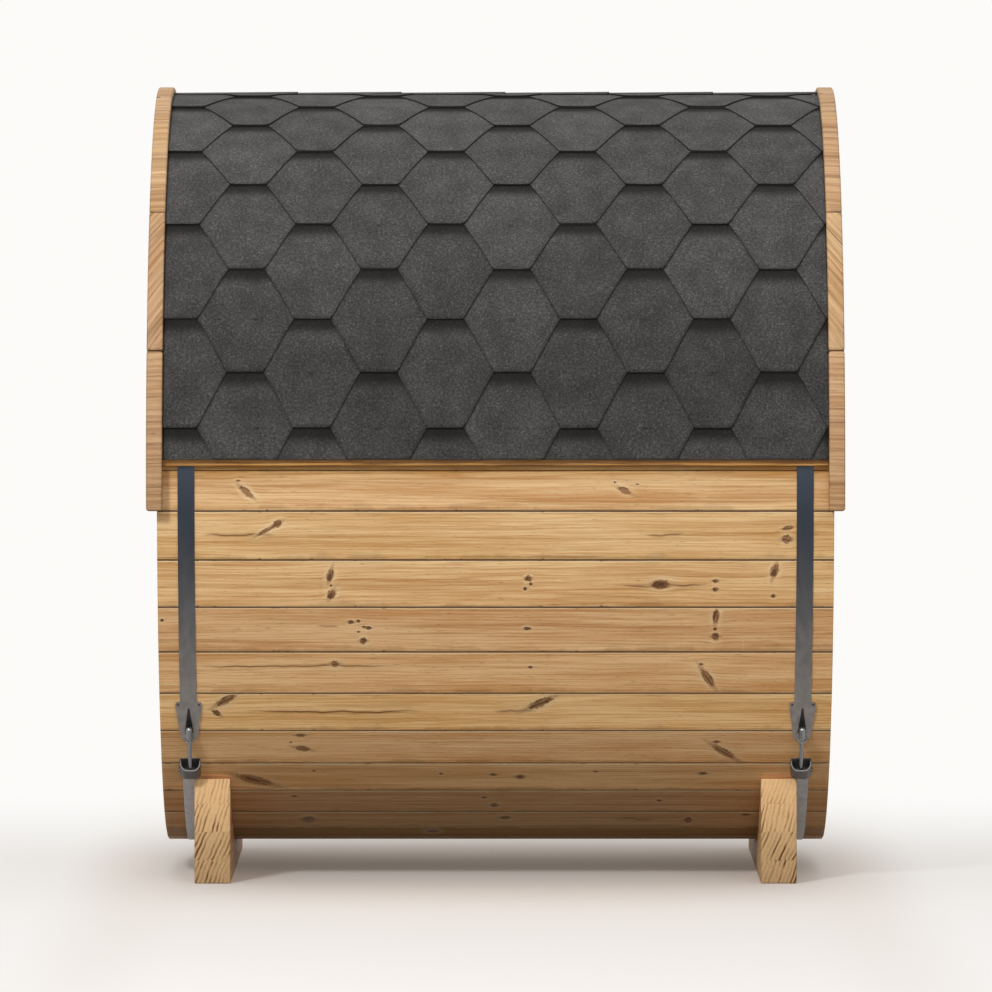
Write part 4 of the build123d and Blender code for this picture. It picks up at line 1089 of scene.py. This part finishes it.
def tensionPlace(side, mirror):
    # puts (x, up the side, out) of a tensioner into the model: its middle, then the tangent and the normal there
    angle = math.radians(tensioner["angle"])
    middle = ringPoint(tensioner["x"], barrel["radius"], angle)
    up = np.array([0, math.sin(angle), math.cos(angle)])
    out = np.array([0, -math.cos(angle), math.sin(angle)])
    turn = np.array([side, mirror, 1])
    axes = np.array([[1, 0, 0], up, out])
    return lambda x, t, h: (middle + np.stack(np.broadcast_arrays(x, t, h), -1) @ axes) * turn


def turnedPart(place, t, radius, columns, sides=None):
    # radius as a function of the distance along, carried round the rod's axis; sides makes the round a polygon
    around = np.linspace(0, 2 * math.pi, columns, endpoint=False)
    t, around = np.broadcast_arrays(t[:, None], around[None, :])
    if sides:
        sector = 2 * math.pi / sides
        radius = radius * math.cos(sector / 2) / np.cos((around % sector) - sector / 2)
    elif radius.ndim == 1:
        radius = radius[:, None] + 0 * around
    points = place(radius * np.cos(around), t, tensioner["rodOut"] + radius * np.sin(around))
    return sweptPart(points, np.stack([t, around], -1), {})


def buildTensioners():
    # thread: the radius swings once for each pitch along the rod and once for each turn round it
    columns = tensioner["columns"]
    t = np.arange(tensioner["rodLow"], tensioner["rodHigh"], tensioner["pitch"] / 6)
    around = np.linspace(0, 2 * math.pi, columns, endpoint=False)
    swing = np.cos(2 * math.pi * t[:, None] / tensioner["pitch"] - around[None, :])
    thread = tensioner["rodRadius"] + tensioner["thread"] * swing
    rounding = tensioner["nutRound"]
    turn = np.linspace(0, math.pi / 2, 10)
    capFoot = tensioner["capLow"] + tensioner["flange"]
    capT = np.concatenate([[capFoot], tensioner["capHigh"] + tensioner["dome"] * np.sin(turn)])
    capR = np.concatenate([[tensioner["dome"]], np.maximum(tensioner["dome"] * np.cos(turn), 2e-4)])
    nuts = ((tensioner["nutLow"], tensioner["nutLow"] + tensioner["nutHeight"]), (tensioner["capLow"], capFoot))
    for end, side in ends:
        for hand, mirror in hands:
            place = tensionPlace(side, mirror)
            parts = [turnedPart(place, t, thread, columns), turnedPart(place, capT, capR, columns)]
            for low, high in nuts:
                nutT = np.array([low, low + rounding, high - rounding, high])
                inset = np.array([rounding, 0, 0, rounding])
                parts.append(turnedPart(place, nutT, (tensioner["nutRadius"] - inset)[:, None], columns, 6))
            makePiece(f"rod_{end}_{hand}", parts, [rodSteel], [f"{end}_{hand}_tension_rod"],
                      crease=40)
    for end, side in ends:
        # painted shade: a thin dark sheet under each plate's hole, where the hole would lie in shade
        parts = []
        low, high, narrow, broad = tensioner["shadeSheet"]
        half = np.linspace(narrow, broad, 12)[:, None]
        for _, mirror in hands:
            angle = math.radians(tensioner["angle"]) + np.linspace(low, high, 12)[:, None] / barrel["radius"]
            x = side * tensioner["x"] + half * np.array([1, 1, -1, -1])[None, :]
            inner, outer = tensioner["shadeSheetRadius"]
            points = ringPoint(x, np.array([inner, outer, outer, inner])[None, :], angle) * np.array([1, mirror, 1])
            parts.append(sweptPart(points, points[..., :2], {}))
        makePiece(f"anchor_shadeSheet_{end}", parts, [shadeSheetSteel], [], crease=40)


buildTensioners()
print("tensioners turned")


# CAD nodes that keep their shape get their finish here

wall = {
    "radius": 0.91767, "doorway": 0.320, "leaf": 0.280, "leafBoard": 0.112, "sideBoards": 5, "headBoards": 6,
    "rearBoards": 16, "batten": 0.0913,
    "bar": {"start": -0.5, "board": 0.2},  # frame and pull: one board takes up the whole bar
}


def finishNodes():
    doorway = wall["doorway"]
    sideBoard = (wall["radius"] - doorway) / wall["sideBoards"]
    boards = {
        "front_wall_left": {"name": "planedWallBoardsLeft", "start": -doorway, "board": sideBoard},
        "front_wall_right": {"name": "planedWallBoardsRight", "start": doorway, "board": sideBoard},
        "front_wall_head": {"name": "planedWallBoardsHead", "start": -doorway,
                            "board": 2 * doorway / wall["headBoards"]},
        "rear_wall": {"name": "planedWallBoardsRear", "start": -wall["radius"],
                      "board": 2 * wall["radius"] / wall["rearBoards"]},
        "door_leaf": {"name": "planedDoorBoards", "start": -wall["leaf"], "board": wall["leafBoard"]},
        "door_frame": {"name": "planedFrameBars", **wall["bar"], "light": "#D2A874"},
        "door_handle": {"name": "planedPullBar", **wall["bar"], "light": "#B98B58", "late": "#8A5E33"},
        "roof_battens": {"name": "sawnRoofBattens", "axes": "XYZ", "start": -2.0, "board": wall["batten"]},
    }
    finishes = {node: boardedWood(dict(wallLook, **settings)) for node, settings in boards.items()}
    finishes["front_wall_sill"] = finishes["front_wall_head"]
    finishes["door_hinges"] = coatedSteel(hingeLook)
    for hand, _ in hands:
        finishes["roof_deck_" + hand] = plyDeck
    for end, _ in ends:
        finishes[f"{end}_upper_strap"] = bandSteel
        finishes[f"{end}_lower_strap"] = lowBandSteel
        for hand, _ in hands:
            finishes[f"{end}_{hand}_strap_bracket"] = bracketSteel
    for node, material in finishes.items():
        mesh = bpy.data.objects[node].data
        mesh.materials.clear()
        mesh.materials.append(material)


finishNodes()
print("nodes finished")


# floor, light and camera

studio = {
    "floor": "#E4E2E0", "bounce": "#65594B", "back": "#FCFBF9", "sky": "#FFFFFF", "skyLevel": 0.54,
    "glow": "#DCCAB8", "glowShare": 0.17, "sideGlow": "#F4F1EE", "sideShare": 0.68, "sideFrom": 0.72, "sideTo": 1.15,
    "fadeFrom": -0.1, "fadeTo": 2.8,
    # where a lamp stands from the aim, its size and its power
    "aim": (0.0, 0.0, 1.0), "away": 14.0,
    "lamps": {"keyLight": ((-0.33, -0.80, 0.46), 2.0, 860.0), "fillLight": ((0.36, -0.84, 0.40), 7.0, 225.0),
              "frontLight": ((0.05, -1.0, 0.06), 6.0, 265.0)},
    "topLight": ((0.0, -0.3, 12.0), 11.0, 480.0),
    "floorHalf": 40.0,
}


def eyeRays(add):
    # 1 for rays that reach the eye straight, by a reflection or through glass
    seen = add("LightPath")
    look = add("Math MAXIMUM", seen.outputs["Is Camera Ray"], seen.outputs["Is Glossy Ray"])
    return add("Math MAXIMUM", look, seen.outputs["Is Transmission Ray"])


def makeFloor():
    size = studio["floorHalf"]
    mesh = bpy.data.meshes.new("floor")
    mesh.from_pydata([(-size, -size, 0), (size, -size, 0), (size, size, 0), (-size, size, 0)], [], [(0, 1, 2, 3)])
    material, add, paint = newMaterial(dict(studio, name="paleFloor"))
    where = add("SeparateXYZ", add("TexCoord").outputs["Object"])
    look = eyeRays(add)
    pale = add("BsdfDiffuse", {"Color": paint["floor"]})
    # painted light: the floor glows more at its sides, which lightens the barrel's shadow there, and glows warm under
    # the barrel in place of light thrown back by the wood
    wide = add("Math ABSOLUTE", where.outputs[0])
    beside = add("MapRange SMOOTHSTEP", wide, studio["sideFrom"], studio["sideTo"], 0.0, 1.0)
    tint = add("Mix RGBA", beside, paint["glow"], paint["sideGlow"])
    share = add("MapRange", beside, 0.0, 1.0, studio["glowShare"], studio["sideShare"])
    pale = add("MixShader", share, pale, add("Emission", {"Color": tint, "Strength": 1.0}))
    dull = add("BsdfDiffuse", {"Color": paint["bounce"]})
    ground = add("MixShader", look, dull, pale)
    clear = add("BsdfTransparent")
    fade = add("MapRange SMOOTHSTEP", where.outputs[1], studio["fadeFrom"], studio["fadeTo"], 0.0, 1.0)
    shader = add("MixShader", fade, ground, clear)
    add("OutputMaterial", shader)
    mesh.materials.append(material)
    floor = bpy.data.objects.new("floor", mesh)
    scene.collection.objects.link(floor)


def areaLight(name, away, size, power):
    # a round lamp that looks at the aim
    lamp = bpy.data.lights.new(name, "AREA")
    lamp.shape = "DISK"
    lamp.size = size
    lamp.energy = power
    holder = bpy.data.objects.new(name, lamp)
    holder.location = np.array(studio["aim"]) + away
    direction = Vector((-away[0], -away[1], -away[2]))
    holder.rotation_euler = direction.to_track_quat("-Z", "Y").to_euler()
    scene.collection.objects.link(holder)


def makeStudio():
    world = bpy.data.worlds.new("studio")
    scene.world = world
    world.use_nodes = True
    world.node_tree.nodes.clear()
    add = functools.partial(addNode, world.node_tree)
    look = eyeRays(add)
    sky = add("Background", {"Color": hexLinear(studio["sky"]), "Strength": studio["skyLevel"]})
    back = add("Background", {"Color": hexLinear(studio["back"]), "Strength": 1.0})
    add("OutputWorld", add("MixShader", look, sky, back))
    for name, (toward, size, power) in studio["lamps"].items():
        areaLight(name, np.array(toward) / np.linalg.norm(toward) * studio["away"], size, power)
    toward, size, power = studio["topLight"]
    areaLight("topLight", np.array(toward), size, power)


# fitted to the photographed view: place in metres, degrees looked down
view = {"lens": 349.63, "sensor": 36.0, "shift": 0.0004, "place": (0.0, -25.0, 1.9274), "down": 2.2116, "clip": 200.0}


def makeCamera():
    lens = bpy.data.cameras.new("camera")
    lens.lens = view["lens"]
    lens.sensor_fit = "HORIZONTAL"
    lens.sensor_width = view["sensor"]
    lens.shift_x = view["shift"]
    lens.clip_end = view["clip"]
    camera = bpy.data.objects.new("camera", lens)
    camera.location = view["place"]
    camera.rotation_euler = (math.radians(90 - view["down"]), 0.0, 0.0)
    scene.collection.objects.link(camera)
    scene.camera = camera


makeFloor()
makeStudio()
makeCamera()
print("studio lit")
